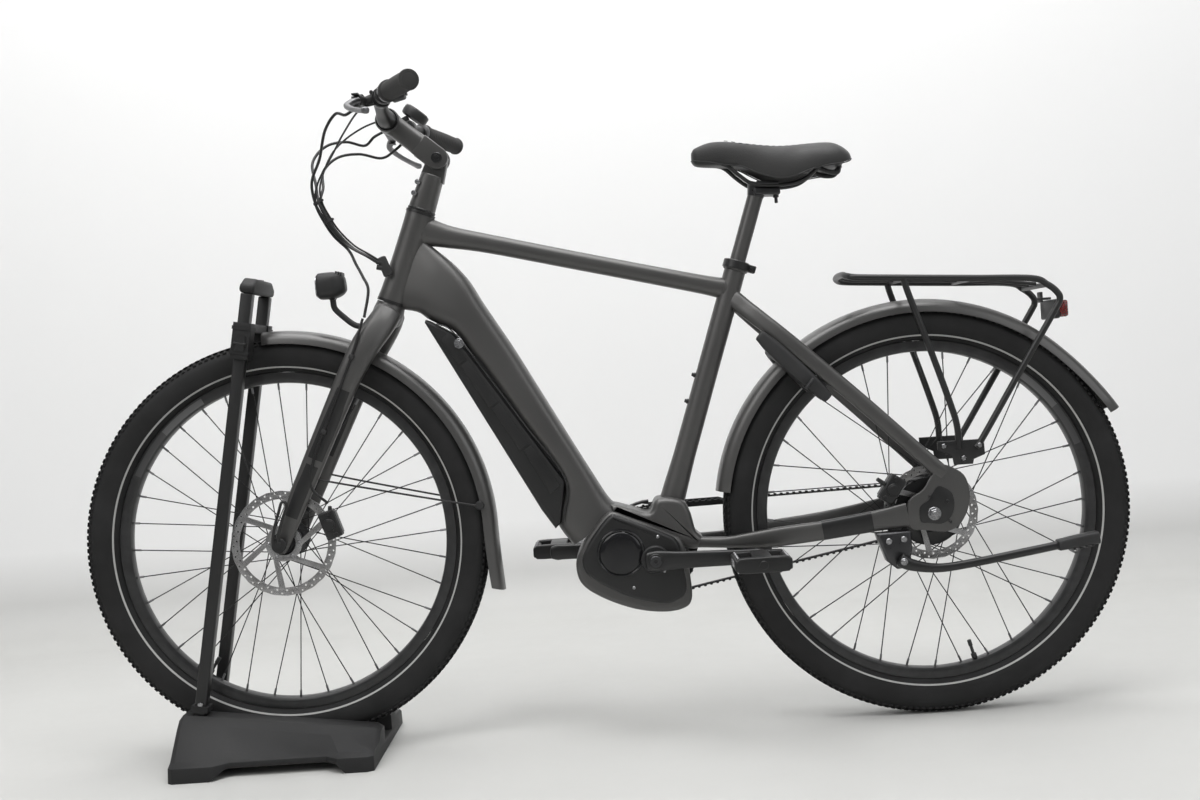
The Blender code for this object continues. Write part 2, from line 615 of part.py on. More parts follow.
def make_stays(frame):
    def stays(side, word):
        def at(x, y, z):
            return Vector((x, side * y, z))
        chain = tube([(at(0.143, 0.0290, 0.3235), 0.0085, 0.0090),
                      (at(0.165, 0.0315, 0.3225), 0.0080, 0.0090),
                      (at(0.203, 0.0425, 0.3215), 0.0085, 0.0095),
                      (at(0.238, 0.0460, 0.3225), 0.0090, 0.0130),
                      (at(0.290, 0.0530, 0.3260), 0.0090, 0.0165),
                      (at(0.380, 0.0610, 0.3340), 0.0085, 0.0160),
                      (at(0.450, 0.0660, 0.3430), 0.0070, 0.0170),
                      (at(0.5072, STAY_Y, 0.3500), 0.0055, 0.0210)], 12, 2.8)
        solid(f"chain_stay_{word}", chain, "frame_grey", frame)
        seat = tube([(at(0.2440, 0.011, 0.7350), 0.0100, 0.0150),
                     (at(0.2850, 0.030, 0.6960), 0.0085, 0.0145),
                     (at(0.3360, 0.047, 0.6480), 0.0080, 0.0140),
                     (at(0.4430, 0.060, 0.5450), 0.0075, 0.0130),
                     (at(0.5600, STAY_Y, 0.4270), 0.0065, 0.0130),
                     (at(0.5800, STAY_Y, 0.4070), 0.0040, 0.0130)],
                    12, 2.6)
        stay = solid(f"seat_stay_{word}", seat, "frame_grey", frame)
        plate = [(0.5100, 0.3290), (0.5100, 0.3720), (0.5350, 0.3900), (0.5560, 0.4200),
                 (0.5760, 0.4280),
                 (0.6050, 0.4100), (0.6130, 0.3800), (0.6050, 0.3450), (0.5900, 0.3260),
                 (0.5650, 0.3190)]
        low, high = sorted((side * (STAY_Y - DROPOUT_T / 2), side * (STAY_Y + DROPOUT_T / 2)))
        join(stay, slab(plate, low, high))
        cut(stay, rod(REAR + Vector((0, side * 0.03, 0)), REAR + Vector((0, side * 0.1, 0)),
                      AXLE_R + GAP),
            seat_cutter())
        if side > 0:
            cut(stay, slab([(0.20, 0.80), (0.28, 0.80), (0.36, 0.58), (0.20, 0.58)], -0.05, GAP))
        else:
            cut(stay, slab([(0.20, 0.80), (0.28, 0.80), (0.36, 0.58), (0.20, 0.58)], -GAP, 0.05))
    both_sides(stays)


def make_motor(frame):
    outline = [(-0.0485, 0.3260), (0.0100, 0.3890), (0.1100, 0.3425), (0.1250, 0.3350),
               (0.1340, 0.3000),
               (0.1390, 0.2300), (0.1240, 0.2160), (0.0880, 0.2090), (0.0360, 0.2170),
               (-0.0150, 0.2390),
               (-0.0500, 0.2650), (-0.0560, 0.2990)]
    unit = solid("motor_unit", slab(outline, -0.0520, 0.0385, 0.006), "black_plastic", frame)
    cut(unit, rod(CRANK - Y_AXIS * 0.2, CRANK + Y_AXIS * 0.2, SPINDLE_R + GAP, 20))
    face = [(-0.0420, 0.3250), (0.0090, 0.3840), (0.1080, 0.3380), (0.1200, 0.3280),
            (0.1300, 0.2420),
            (0.0870, 0.2260), (0.0250, 0.2440), (-0.0270, 0.2790)]
    cover = solid("motor_cover", slab(face, -0.0680, -0.0523, 0.006), "black_plastic", frame)
    cut(cover, rod(CRANK - Y_AXIS * 0.2, CRANK + Y_AXIS * 0.2, SPINDLE_R + GAP, 20))


# Drive ----------------------------------------------------------------------------
def make_cranks():
    turn = pivot("crank_pivot", CRANK)
    for side, word in ((-1, "left"), (1, "right")):
        tip = CRANK + Vector((-side * CRANK_LENGTH, side * CRANK_Y, side * 0.003))
        root = CRANK + Vector((0, side * CRANK_Y, 0))
        half = CRANK_T / 2
        arm = tube([(root + Vector((side * 0.014, 0, 0)), half, 0.0150), (root, half, 0.0170),
                    (root.lerp(tip, 0.25), half, 0.0125), (root.lerp(tip, 0.8), half, 0.0105),
                    (tip, half, 0.0140), (tip - Vector((side * 0.012, 0, 0)), half, 0.0110)], 12,
                    3)
        crank = solid(f"crank_{word}", arm, "black_paint", turn)
        if side < 0:
            join(crank, rod(root - Vector((0, 0.004, 0)), CRANK + Vector((0, CRANK_Y + 0.006, 0)),
                            SPINDLE_R, 20))
        else:
            cut(crank, rod(root - Vector((0, 0.05, 0)), root + Vector((0, 0.05, 0)),
                           SPINDLE_R + GAP, 20))
        cut(crank, rod(tip - Vector((0, 0.05, 0)), tip + Vector((0, 0.05, 0)), 0.0070 + GAP))
        make_pedal(side, word, tip)
    loop = [(SPINDLE_R + GAP, BELT_Y - 0.003), (FRONT_PITCH_R - 0.006, BELT_Y - 0.003),
            (FRONT_PITCH_R - 0.006, BELT_Y - BELT_HALF),
            (FRONT_PITCH_R - BELT_T / 2 - BELT_CLEAR, BELT_Y - BELT_HALF),
            (FRONT_PITCH_R - BELT_T / 2 - BELT_CLEAR, BELT_Y + BELT_HALF),
            (FRONT_PITCH_R - 0.006, BELT_Y + BELT_HALF),
            (FRONT_PITCH_R - 0.006, BELT_Y + 0.003), (SPINDLE_R + GAP, BELT_Y + 0.003)]
    solid("front_sprocket", turned(loop, CRANK, (0, 1, 0), 32), "black_paint", turn)


def make_pedal(side, word, tip):
    turn = pivot(f"pedal_{word}_pivot", tip)
    near = CRANK_Y + CRANK_T / 2 + 0.006
    low, high = sorted((side * near, side * (near + PEDAL_WIDTH)))
    half, thick = 0.046, 0.0135
    outline = [(tip.x - half, tip.z - 0.006), (tip.x - half + 0.008, tip.z - thick),
               (tip.x + half - 0.008, tip.z - thick), (tip.x + half, tip.z - 0.006),
               (tip.x + half, tip.z + 0.006), (tip.x + half - 0.008, tip.z + thick),
               (tip.x - half + 0.008, tip.z + thick), (tip.x - half, tip.z + 0.006)]
    pedal = solid(f"pedal_{word}", slab(outline, low, high, 0.004), "black_plastic", turn)
    axis = Vector((tip.x, 0, tip.z))
    join(pedal, rod(axis + Vector((0, side * (CRANK_Y - CRANK_T / 2), 0)),
                    axis + Vector((0, side * (near + 0.02), 0)),
                    0.0070))


def make_belt(frame):
    """The belt's closed loop: two straight runs and the two arcs round the sprockets."""
    line = REAR - CRANK
    reach = math.hypot(line.x, line.z)
    base = math.atan2(line.z, line.x)
    lean = math.acos((FRONT_PITCH_R - REAR_PITCH_R) / reach)
    path = []
    for i in range(19):
        angle = base + lean + (2 * math.pi - 2 * lean) * i / 18
        path.append((CRANK, FRONT_PITCH_R, angle))
    for i in range(13):
        angle = base - lean + 2 * lean * i / 12
        path.append((REAR, REAR_PITCH_R, angle))
    rings = []
    for centre, radius, angle in path:
        out = Vector((math.cos(angle), 0, math.sin(angle)))
        rings.append([Vector((centre.x, BELT_Y + y, centre.z)) + out * (radius + r)
                      for y, r in ((-BELT_HALF, -BELT_T / 2), (BELT_HALF, -BELT_T / 2),
                                   (BELT_HALF, BELT_T / 2), (-BELT_HALF, BELT_T / 2))])
    solid("belt", loft(rings, closed=True), "rubber", frame)
    guard = ([(CRANK.x + 0.0905 * math.cos(a), CRANK.z + 0.0905 * math.sin(a))
              for a in (math.radians(d) for d in range(92, 142, 7))]
             + [(CRANK.x + 0.0865 * math.cos(a), CRANK.z + 0.0865 * math.sin(a))
                for a in (math.radians(d) for d in range(141, 91, -7))])
    shield = slab(guard, BELT_Y - 0.008, BELT_Y + 0.012)
    plate = slab([(0.055, 0.3880), (0.200, 0.3900), (0.232, 0.3790), (0.232, 0.3765),
                  (0.135, 0.3750)],
                 BELT_Y + 0.0085, BELT_Y + 0.012)
    join(solid("belt_guard", shield, "black_plastic", frame), plate)
    turn = pivot("rear_sprocket_pivot", REAR)
    top = REAR_PITCH_R - BELT_T / 2 - BELT_CLEAR
    loop = [(0.0125, BELT_Y - BELT_HALF), (top, BELT_Y - BELT_HALF), (top, BELT_Y + BELT_HALF),
            (0.0125, BELT_Y + BELT_HALF)]
    solid("rear_sprocket", turned(loop, REAR, (0, 1, 0), 32), "black_paint", turn)


# Seat -----------------------------------------------------------------------------
def make_seat():
    slide = pivot("seat_post_pivot", SEAT_TOP)
    top = SEAT_TOP + SEAT_AXIS * SEAT_POST_OUT
    post = solid("seat_post", rod(SEAT_TOP - SEAT_AXIS * SEAT_POST_IN, top, SEAT_POST_R, 20),
                 "frame_grey", slide)
    join(post, block((0.290, -0.021, 0.9080), (0.338, 0.021, 0.9300)))
    for side in (-1, 1):
        y = side * 0.022
        join(post, tube([((0.246, y * 0.9, 0.9640), RAIL_R, RAIL_R),
                         ((0.262, y, 0.9480), RAIL_R, RAIL_R),
                         ((0.292, y, 0.9260), RAIL_R, RAIL_R),
                         ((0.345, y, 0.9240), RAIL_R, RAIL_R),
                         ((0.375, y * 1.3, 0.9300), RAIL_R, RAIL_R),
                         ((0.398, y * 1.6, 0.9460), RAIL_R, RAIL_R)], 8))
    stations = [(0.188, 0.012, 0.974, 0.990), (0.196, 0.020, 0.968, 0.997),
                (0.225, 0.023, 0.966, 0.999),
                (0.270, 0.027, 0.963, 0.994), (0.315, 0.042, 0.962, 0.988),
                (0.350, 0.062, 0.957, 0.984),
                (0.390, 0.077, 0.955, 0.982), (0.425, 0.080, 0.955, 0.981),
                (0.447, 0.068, 0.957, 0.976),
                (0.455, 0.050, 0.960, 0.971)]
    rings = [ring(Vector((x, 0, (low + high) / 2)), Y_AXIS, Vector((0, 0, 1)), half,
                  (high - low) / 2, 16, 2.6) for x, half, low, high in stations]
    solid("saddle", loft(rings), "saddle_cover", slide)


# Rear load and fittings -----------------------------------------------------------
def make_rack(frame):
    def side_run(side):
        y = side * RACK_HALF
        return [(0.6290, y, 0.4560), (0.6410, y, 0.4720), (0.7030, y, 0.5680),
                (0.7720, y, 0.6740),
                (0.7835, y, 0.6950), (0.7790, y, 0.7080), (0.7640, y, 0.7210),
                (0.7380, y, 0.7330),
                (0.6400, y, 0.7400), (0.5300, y, 0.7480), (0.4520, y * 0.98, 0.7540),
                (0.4340, y * 0.80, 0.7580),
                (0.4300, y * 0.40, 0.7620)]
    run = side_run(-1) + [(x, y, z) for x, y, z in reversed(side_run(1))]
    radius = RACK_TUBE_R
    rack = solid("rear_rack",
                 tube([(p, radius, radius) for p in run], 6, 2.0, Vector((0.02, 1, 0.01))),
                 "black_paint", frame)
    for side in (-1, 1):
        y = side * RACK_HALF
        join(rack, tube([((0.5250, y, 0.7470), radius, radius),
                         ((0.5640, y, 0.6200), radius, radius),
                         ((0.6000, y, 0.5000), radius, radius),
                         ((0.6000, y, 0.4560), radius, radius)], 6))
        low, high = sorted((side * (RACK_HALF - 0.0020), side * (RACK_HALF + 0.0020)))
        foot = [(0.5640, 0.4700), (0.6420, 0.4700), (0.6420, 0.4440), (0.6240, 0.4370),
                (0.6220, 0.4290),
                (0.5900, 0.4290), (0.5880, 0.4440), (0.5640, 0.4560)]
        join(rack, slab(foot, low, high))
    for x, z in ((0.5300, 0.7480), (0.6400, 0.7400)):
        join(rack, rod((x, -RACK_HALF, z), (x, RACK_HALF, z), 0.0045, 8))
    join(rack, rod((0.7640, -RACK_HALF, 0.7210), (0.7640, RACK_HALF, 0.7210), 0.0045, 8))
    lamp = block((0.7850, -0.040, 0.6640), (0.8080, 0.040, 0.6960))
    bmesh.ops.bevel(lamp, geom=lamp.edges[:], offset=0.005, segments=2, affect="EDGES")
    light = solid("rear_light", lamp, "red_lens", frame)
    join(light, block((0.7720, -0.010, 0.6970), (0.7880, 0.010, 0.7010)),
         block((0.7700, -0.009, 0.6930), (0.7745, 0.009, 0.7120)),
         block((0.7840, -0.009, 0.6890), (0.7900, 0.009, 0.7000)))


def make_lock(frame):
    """A ring lock: a horseshoe round the tyre in the seat stays' slanted plane."""
    radial = Vector((-math.cos(math.radians(50)), 0, math.sin(math.radians(50))))
    centre = REAR + radial * 0.325
    around = radial.cross(Y_AXIS).normalized()
    rings = []
    for i in range(15):
        angle = math.radians(-35 + 250 * i / 14)
        out = Y_AXIS * math.cos(angle) * (GUARD_HALF + 0.0125) + radial * math.sin(angle) * 0.057
        side = out.normalized()
        rings.append(ring(centre + out, side, around, 0.0085, 0.0125, 8, 4))
    lock = solid("frame_lock", loft(rings), "black_plastic", frame)
    return lock


def make_kickstand():
    hinge = pivot("kickstand_pivot", (0.4900, -0.0950, 0.2770))
    mount = slab([(0.4500, 0.3240), (0.5080, 0.3250), (0.5090, 0.2950), (0.5020, 0.2640),
                  (0.4820, 0.2620),
                  (0.4660, 0.2760)], -0.0835, -0.0560, 0.003)
    solid("kickstand_mount", mount, "black_plastic")
    leg = tube([((0.4860, -0.0925, 0.2790), 0.0080, 0.0120),
                ((0.5030, -0.0940, 0.2700), 0.0078, 0.0100),
                ((0.5450, -0.0950, 0.2620), 0.0070, 0.0075),
                ((0.6000, -0.0950, 0.2660), 0.0070, 0.0070),
                ((0.7000, -0.0950, 0.2800), 0.0070, 0.0070),
                ((0.7520, -0.0950, 0.2875), 0.0068, 0.0068)], 10, 2.5)
    leg = solid("kickstand_leg", leg, "black_paint", hinge)
    join(leg, tube([((0.7480, -0.0950, 0.2870), 0.0115, 0.0095),
                    ((0.8130, -0.0950, 0.2960), 0.0115, 0.0110)], 8, 5))


# Fork and bars --------------------------------------------------------------------
def make_fork(steering):
    steerer = rod(head_point(-HEAD_HALF - 0.012), head_point(HEAD_HALF + 0.045), STEERER_R, 16)
    fork = solid("fork", steerer, "frame_grey", steering)
    seat = head_point(-HEAD_HALF - 0.0006)
    crown = loft([ring(seat, HEAD_NORMAL, Y_AXIS, 0.0245, 0.0245, 14),
                  ring(head_point(-HEAD_HALF - 0.022), HEAD_NORMAL, Y_AXIS, 0.0270, 0.0330, 14,
                       2.4),
                  ring(head_point(-HEAD_HALF - 0.038), HEAD_NORMAL, Y_AXIS, 0.0210, 0.0300, 14,
                       2.6)])
    join(fork, crown)
    for side in (-1, 1):
        y = side * 0.057
        leg = tube([((-0.3520, side * 0.018, 0.7460), 0.0170, 0.0230),
                    ((-0.3660, side * 0.036, 0.7270), 0.0165, 0.0240),
                    ((-0.3860, side * 0.052, 0.6980), 0.0145, 0.0240),
                    ((-0.4060, y, 0.6650), 0.0130, 0.0220),
                    ((-0.4300, y, 0.6210), 0.0125, 0.0205),
                    ((-0.5020, y, 0.4760), 0.0105, 0.0185),
                    ((-0.5300, y, 0.4170), 0.0080, 0.0155),
                    ((-0.5480, y, 0.3780), 0.0065, 0.0140),
                    ((-0.5560, y, 0.3600), 0.0062, 0.0110)], 12, 2.6)
        join(fork, leg)
    cut(fork, rod(FRONT - Vector((0, 0.1, 0)), FRONT + Vector((0, 0.1, 0)), AXLE_R + GAP))


def make_headlight(steering):
    body = tube([((-0.4715, 0, 0.8050), 0.0200, 0.0200), ((-0.4640, 0, 0.8052), 0.0240, 0.0235),
                 ((-0.4400, 0, 0.8060), 0.0235, 0.0225), ((-0.4230, 0, 0.8070), 0.0150, 0.0160)],
                 12, 3.2)
    lamp = solid("headlight", body, "black_plastic", steering)
    join(lamp, tube([((-0.4470, 0, 0.7950), 0.0070, 0.0060),
                     ((-0.4450, 0, 0.7700), 0.0050, 0.0050),
                     ((-0.4300, 0, 0.7500), 0.0050, 0.0050),
                     ((-0.4120, 0, 0.7340), 0.0050, 0.0050),
                     ((-0.3930, 0, 0.7300), 0.0050, 0.0050)], 8))


def make_stem(steering):
    base = tube([(head_point(HEAD_HALF + 0.0006), 0.0235, 0.0235),
                 (head_point(HEAD_HALF + 0.030), 0.0215, 0.0240),
                 (head_point(HEAD_HALF + 0.066), 0.0195, 0.0245)], 14, 2.6)
    stem = solid("stem_base", base, "frame_grey", steering)
    cut(stem, rod(head_point(HEAD_HALF - 0.01), head_point(HEAD_HALF + 0.0458), STEERER_R + GAP,
                  16))
    foot = head_point(HEAD_HALF + 0.060)
    ear = [(foot.x - 0.022, foot.z), (STEM_PIVOT.x - 0.018, STEM_PIVOT.z + 0.002),
           (STEM_PIVOT.x - 0.008, STEM_PIVOT.z + 0.016),
           (STEM_PIVOT.x + 0.010, STEM_PIVOT.z + 0.014), (STEM_PIVOT.x + 0.018, STEM_PIVOT.z),
           (foot.x + 0.020, foot.z - 0.010)]
    join(stem, slab(ear, -0.0105, 0.0105))


def make_bars():
    tilt = pivot("stem_pivot", STEM_PIVOT)
    ahead = (BAR_CENTRE - STEM_PIVOT).normalized()
    arm = tube([(STEM_PIVOT - ahead * 0.020, 0.0175, 0.0120),
                (STEM_PIVOT - ahead * 0.010, 0.0200, 0.0190),
                (STEM_PIVOT + ahead * 0.012, 0.0205, 0.0200),
                (STEM_PIVOT + ahead * 0.070, 0.0190, 0.0180),
                (BAR_CENTRE, 0.0200, 0.0185)], 14, 3)
    stem = solid("stem_arm", arm, "frame_grey", tilt)
    join(stem, rod(BAR_CENTRE - Vector((0, 0.0220, 0)), BAR_CENTRE + Vector((0, 0.0220, 0)),
                   0.0205, 20))
    cut(stem, rod(BAR_CENTRE - Vector((0, 0.1, 0)), BAR_CENTRE + Vector((0, 0.1, 0)),
                  BAR_CLAMP_R + GAP, 20))
    fork_gap = [(STEM_PIVOT.x - 0.024, STEM_PIVOT.z + 0.030),
                (STEM_PIVOT.x + 0.045, STEM_PIVOT.z + 0.025),
                (STEM_PIVOT.x + 0.045, STEM_PIVOT.z - 0.060),
                (STEM_PIVOT.x - 0.060, STEM_PIVOT.z - 0.060),
                (STEM_PIVOT.x - 0.034, STEM_PIVOT.z + 0.005)]
    cut(stem, slab(fork_gap, -0.0110, 0.0110))

    def half_bar(side):
        c = BAR_CENTRE
        return [((c.x, 0, c.z), BAR_CLAMP_R), ((c.x, side * 0.030, c.z), BAR_CLAMP_R),
                ((c.x, side * 0.046, c.z + 0.001), 0.0140),
                ((c.x + 0.001, side * 0.070, c.z + 0.005), BAR_R),
                ((c.x + 0.005, side * 0.110, c.z + 0.010), BAR_R),
                ((c.x + 0.014, side * 0.150, c.z + 0.013), BAR_R),
                ((c.x + 0.030, side * 0.190, c.z + 0.012), BAR_R),
                ((c.x + 0.079, side * 0.304, c.z + 0.003), BAR_R)]
    run = [(p, r, r) for p, r in reversed(half_bar(-1))] + [(p, r, r) for p, r in half_bar(1)[1:]]
    solid("handlebar", tube(run, 12, 2.0, Vector((1, 0, 0))), "black_paint", tilt)

    def controls(side, word):
        inner = BAR_CENTRE + Vector((0.030, side * 0.190, 0.012))
        outer = BAR_CENTRE + Vector((0.079, side * 0.304, 0.003))
        ahead = (outer - inner).normalized()
        grip = solid(f"grip_{word}",
                     rod(outer - ahead * (GRIP_LENGTH - 0.006), outer + ahead * 0.006, GRIP_R,
                         16),
                     "rubber", tilt)
        cut(grip, rod(inner - ahead * 0.05, outer + ahead * 0.0006,
                      (BAR_R + GAP) / math.cos(math.pi / 12), 12))
        clamp = BAR_CENTRE + Vector((0.012, side * 0.1420, 0.0125))
        body = block(clamp + Vector((-0.034, -0.0090, -0.014)),
                     clamp + Vector((0.014, 0.0090, 0.014)))
        bmesh.ops.bevel(body, geom=body.edges[:], offset=0.004, segments=1, affect="EDGES")
        brake = solid(f"brake_body_{word}", body, "black_paint", tilt)
        tank = clamp + Vector((-0.033, 0, -0.006))
        join(brake, tube([(tank + Vector((0, -side * 0.022, 0)), 0.0100, 0.0085),
                          (tank + Vector((0, side * 0.030, 0)), 0.0095, 0.0095)], 10, 3,
                          Vector((0, 0, 1))))
        cut(brake, rod(clamp + Vector((-0.010, -side * 0.036, 0)),
                       clamp + Vector((0.010, side * 0.036, 0)),
                       BAR_R + 0.0012, 16))
        post = tank + Vector((-0.002, side * 0.0410, -0.004))
        hinge = pivot(f"brake_lever_{word}_pivot", post)
        lever = tube([(post + Vector((0.000, -side * 0.0080, 0.0)), 0.0050, 0.0065),
                      (post, 0.0060, 0.0075),
                      (post + Vector((-0.010, side * 0.020, -0.010)), 0.0045, 0.0055),
                      (post + Vector((0.004, side * 0.055, -0.024)), 0.0040, 0.0050),
                      (post + Vector((0.024, side * 0.090, -0.034)), 0.0040, 0.0050),
                      (post + Vector((0.032, side * 0.104, -0.037)), 0.0055, 0.0065)], 8, 2.5,
                      Vector((0, 0, 1)))
        solid(f"brake_lever_{word}", lever, "alloy", hinge)
    both_sides(controls)
    screen = BAR_CENTRE + Vector((0.036, 0.0, 0.012))
    disc = rod(screen + Vector((-0.0010, 0.046, -0.001)), screen + Vector((0.010, 0.046, 0.013)),
               0.024, 18)
    display = solid("display", disc, "black_plastic", tilt)
    join(display, block(screen + Vector((-0.030, 0.0300, -0.006)),
                        screen + Vector((0.000, 0.0400, 0.006))))
    cut(display, rod(BAR_CENTRE + Vector((-0.001, 0.0, 0)),
                     BAR_CENTRE + Vector((0.001, 0.07, 0.004)), 0.0185, 16))


def make_hoses(steering):
    """The hoses from the bars, tied together before the head tube's port."""
    bundle = [Vector(p) for p in ((-0.4600, 0, 0.9480), (-0.4470, 0, 0.9170),
                                  (-0.4320, 0, 0.8920),
                                  (-0.4080, -0.004, 0.8660))]
    port = Vector((-0.3600, -0.0310, 0.8350))
    runs = {
        "hose_front_brake": [(-0.3760, -0.148, 1.0680), (-0.3950, -0.130, 1.0740),
                             (-0.4190, -0.105, 1.0520),
                             (-0.4400, -0.060, 1.0150), (-0.4640, -0.022, 0.9820)],
        "hose_rear_brake": [(-0.3920, 0.112, 1.0620), (-0.4200, 0.085, 1.0660),
                            (-0.4520, 0.060, 1.0560),
                            (-0.4720, 0.035, 1.0250), (-0.4640, 0.0110, 0.9820)],
        "cable_shift": [(-0.3700, 0.158, 1.0450), (-0.4050, 0.128, 1.0500),
                        (-0.4380, 0.090, 1.0400),
                        (-0.4580, 0.055, 1.0120), (-0.4540, 0.022, 0.9780)],
    }
    places = {"hose_front_brake": Vector((-0.0045, 0.0010, -0.0022)),
              "hose_rear_brake": Vector((0.0020, -0.0042, 0.0014)),
              "cable_shift": Vector((0.0030, 0.0042, 0.0014))}
    for name, start in runs.items():
        offset = places[name]
        points = [Vector(p) for p in start] + [p + offset for p in bundle]
        if name == "hose_front_brake":
            points += [Vector((-0.3990, -0.0180, 0.8380)), Vector((-0.3860, -0.0360, 0.8150)),
                       Vector((-0.3760, -0.0480, 0.7900)), Vector((-0.3840, -0.0600, 0.7440))]
        else:
            points += [port + offset * 0.8 + Vector((-0.018, -0.003, 0.013)), port + offset * 0.8]
        hose(name, points, HOSE_R, steering)


def main():
    clear_scene()
    bpy.context.view_layer.update()
    make_stand()
    make_wheel_rest()
    frame = pivot("frame_pivot", (0, 0, 0))
    steering = pivot("steering_pivot", HEAD_MID)
    make_head_and_seat(frame)
    make_main_tubes(frame)
    make_stays(frame)
    make_motor(frame)
    make_cranks()
    make_belt(frame)
    make_seat()
    make_rack(frame)
    make_guard("rear_mudguard", REAR, 24.7, 171, frame, flap=0.012)
    make_lock(frame)
    make_kickstand()
    make_rear_wheel(frame)
    make_fork(steering)
    make_front_wheel(steering)
    make_guard("front_mudguard", FRONT, -16.5, 93, steering, flap=0.022)
    make_headlight(steering)
    make_stem(steering)
    make_bars()
    make_hoses(steering)


main()
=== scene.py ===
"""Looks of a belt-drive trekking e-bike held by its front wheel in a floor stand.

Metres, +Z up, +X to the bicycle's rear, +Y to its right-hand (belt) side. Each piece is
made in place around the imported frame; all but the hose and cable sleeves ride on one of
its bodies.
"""

import json
import math

import bmesh
import bpy
from mathutils import Matrix, Vector

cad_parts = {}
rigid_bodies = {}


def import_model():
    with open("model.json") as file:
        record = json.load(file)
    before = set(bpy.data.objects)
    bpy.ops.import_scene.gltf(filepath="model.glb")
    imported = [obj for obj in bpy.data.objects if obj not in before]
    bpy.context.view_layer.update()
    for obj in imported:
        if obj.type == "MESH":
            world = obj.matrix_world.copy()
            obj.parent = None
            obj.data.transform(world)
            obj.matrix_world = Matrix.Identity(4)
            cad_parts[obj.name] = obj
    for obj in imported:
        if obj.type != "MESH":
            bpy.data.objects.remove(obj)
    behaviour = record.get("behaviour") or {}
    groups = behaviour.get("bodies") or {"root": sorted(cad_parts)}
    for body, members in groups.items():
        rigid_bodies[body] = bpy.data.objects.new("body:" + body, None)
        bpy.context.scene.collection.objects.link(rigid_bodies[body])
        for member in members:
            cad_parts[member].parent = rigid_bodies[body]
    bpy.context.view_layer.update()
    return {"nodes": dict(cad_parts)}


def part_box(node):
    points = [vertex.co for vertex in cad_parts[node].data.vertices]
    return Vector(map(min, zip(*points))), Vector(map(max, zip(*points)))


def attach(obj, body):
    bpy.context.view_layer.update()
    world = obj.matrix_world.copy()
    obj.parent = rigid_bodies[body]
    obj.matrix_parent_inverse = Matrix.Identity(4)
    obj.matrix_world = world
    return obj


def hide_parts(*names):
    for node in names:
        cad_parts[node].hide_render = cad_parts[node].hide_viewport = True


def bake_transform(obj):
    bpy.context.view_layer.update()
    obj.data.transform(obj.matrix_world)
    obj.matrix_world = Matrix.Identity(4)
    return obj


bl_info = {
    "name": "Trekking e-bike in a wheel stand",
    "version": (1, 0, 0),
    "blender": (4, 5, 0),
    "location": "View3D > Sidebar > Bicycle",
    "description": "Makes the pieces and finishes of an e-bike in a floor stand",
    "category": "Object",
}

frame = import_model()


def middle(node):
    low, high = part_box(node)
    return (low + high) / 2


# Places that every group of pieces shares ------------------------------------------
FRONT, REAR = middle("front_tyre"), middle("rear_tyre")
CRANK = middle("front_sprocket")
CRANK.y = 0.0
BELT_Y = middle("belt").y
STAY_Y = 0.067
HEAD_ANGLE, SEAT_ANGLE, POST_LEAN = (math.radians(a) for a in (68.0, 70.9, 10.6))
HEAD_MID = Vector((-0.3145, 0.0, 0.8445))
HEAD_HALF, HEAD_R = 0.083, 0.024
HEAD_AXIS = Vector((math.cos(HEAD_ANGLE), 0.0, math.sin(HEAD_ANGLE)))
HEAD_NORMAL = Vector((-math.sin(HEAD_ANGLE), 0.0, math.cos(HEAD_ANGLE)))
SEAT_TOP = Vector((0.255, 0.0, 0.796))
SEAT_AXIS = Vector((math.cos(SEAT_ANGLE), 0.0, math.sin(SEAT_ANGLE)))
SEAT_LENGTH, SEAT_TUBE_R, SEAT_POST_R = 0.44, 0.0185, 0.0136
SEAT_POST_OUT, SEAT_POST_IN = 0.124, 0.11
POST_FOOT = Vector((-0.711, 0.0, 0.088))
POST_AXIS = Vector((math.sin(POST_LEAN), 0.0, math.cos(POST_LEAN)))
POST_NORMAL = Vector((math.cos(POST_LEAN), 0.0, -math.sin(POST_LEAN)))
POST_Y, POST_HALF, POST_LENGTH = 0.0575, 0.01, 0.722
WHEEL_REST_UP = 0.63  # along the posts from their feet
BAR_CENTRE = Vector((-0.328, 0.0, 1.08))
BAR_CLAMP_R, BAR_R = 0.0159, 0.0111
STEM_PIVOT = Vector((-0.248, 0.0, 1.01))
FRONT_PITCH_R, REAR_PITCH_R = (teeth * 0.011 / (2 * math.pi) for teeth in (46, 24))
CRANK_Y = 0.084
ROTOR_Y = -0.0455
GUARD_R, GUARD_HALF = 0.3645, 0.0325
ROD_EDGE = 0.0008
Y_AXIS = Vector((0, 1, 0))
SIDES = ((-1, "left"), (1, "right"))


# Meshes -----------------------------------------------------------------------------
def ring(centre, side, up, half_side, half_up, count=28, power=2.0):
    """Points of a superellipse; a high power makes it squarer."""
    points = []
    for i in range(count):
        angle = 2 * math.pi * (i + 0.5) / count
        c, s = math.cos(angle), math.sin(angle)
        points.append(centre + side * math.copysign(abs(c) ** (2 / power), c) * half_side
                      + up * math.copysign(abs(s) ** (2 / power), s) * half_up)
    return points


def loft(rings, closed=False):
    shape = bmesh.new()
    rows = [[shape.verts.new(p) for p in r] for r in rings]
    for a, b in list(zip(rows, rows[1:])) + ([(rows[-1], rows[0])] if closed else []):
        for i in range(len(a)):
            j = (i + 1) % len(a)
            shape.faces.new((a[i], a[j], b[j], b[i]))
    if not closed:
        shape.faces.new(rows[0])
        shape.faces.new(list(reversed(rows[-1])))
    bmesh.ops.recalc_face_normals(shape, faces=shape.faces)
    return shape


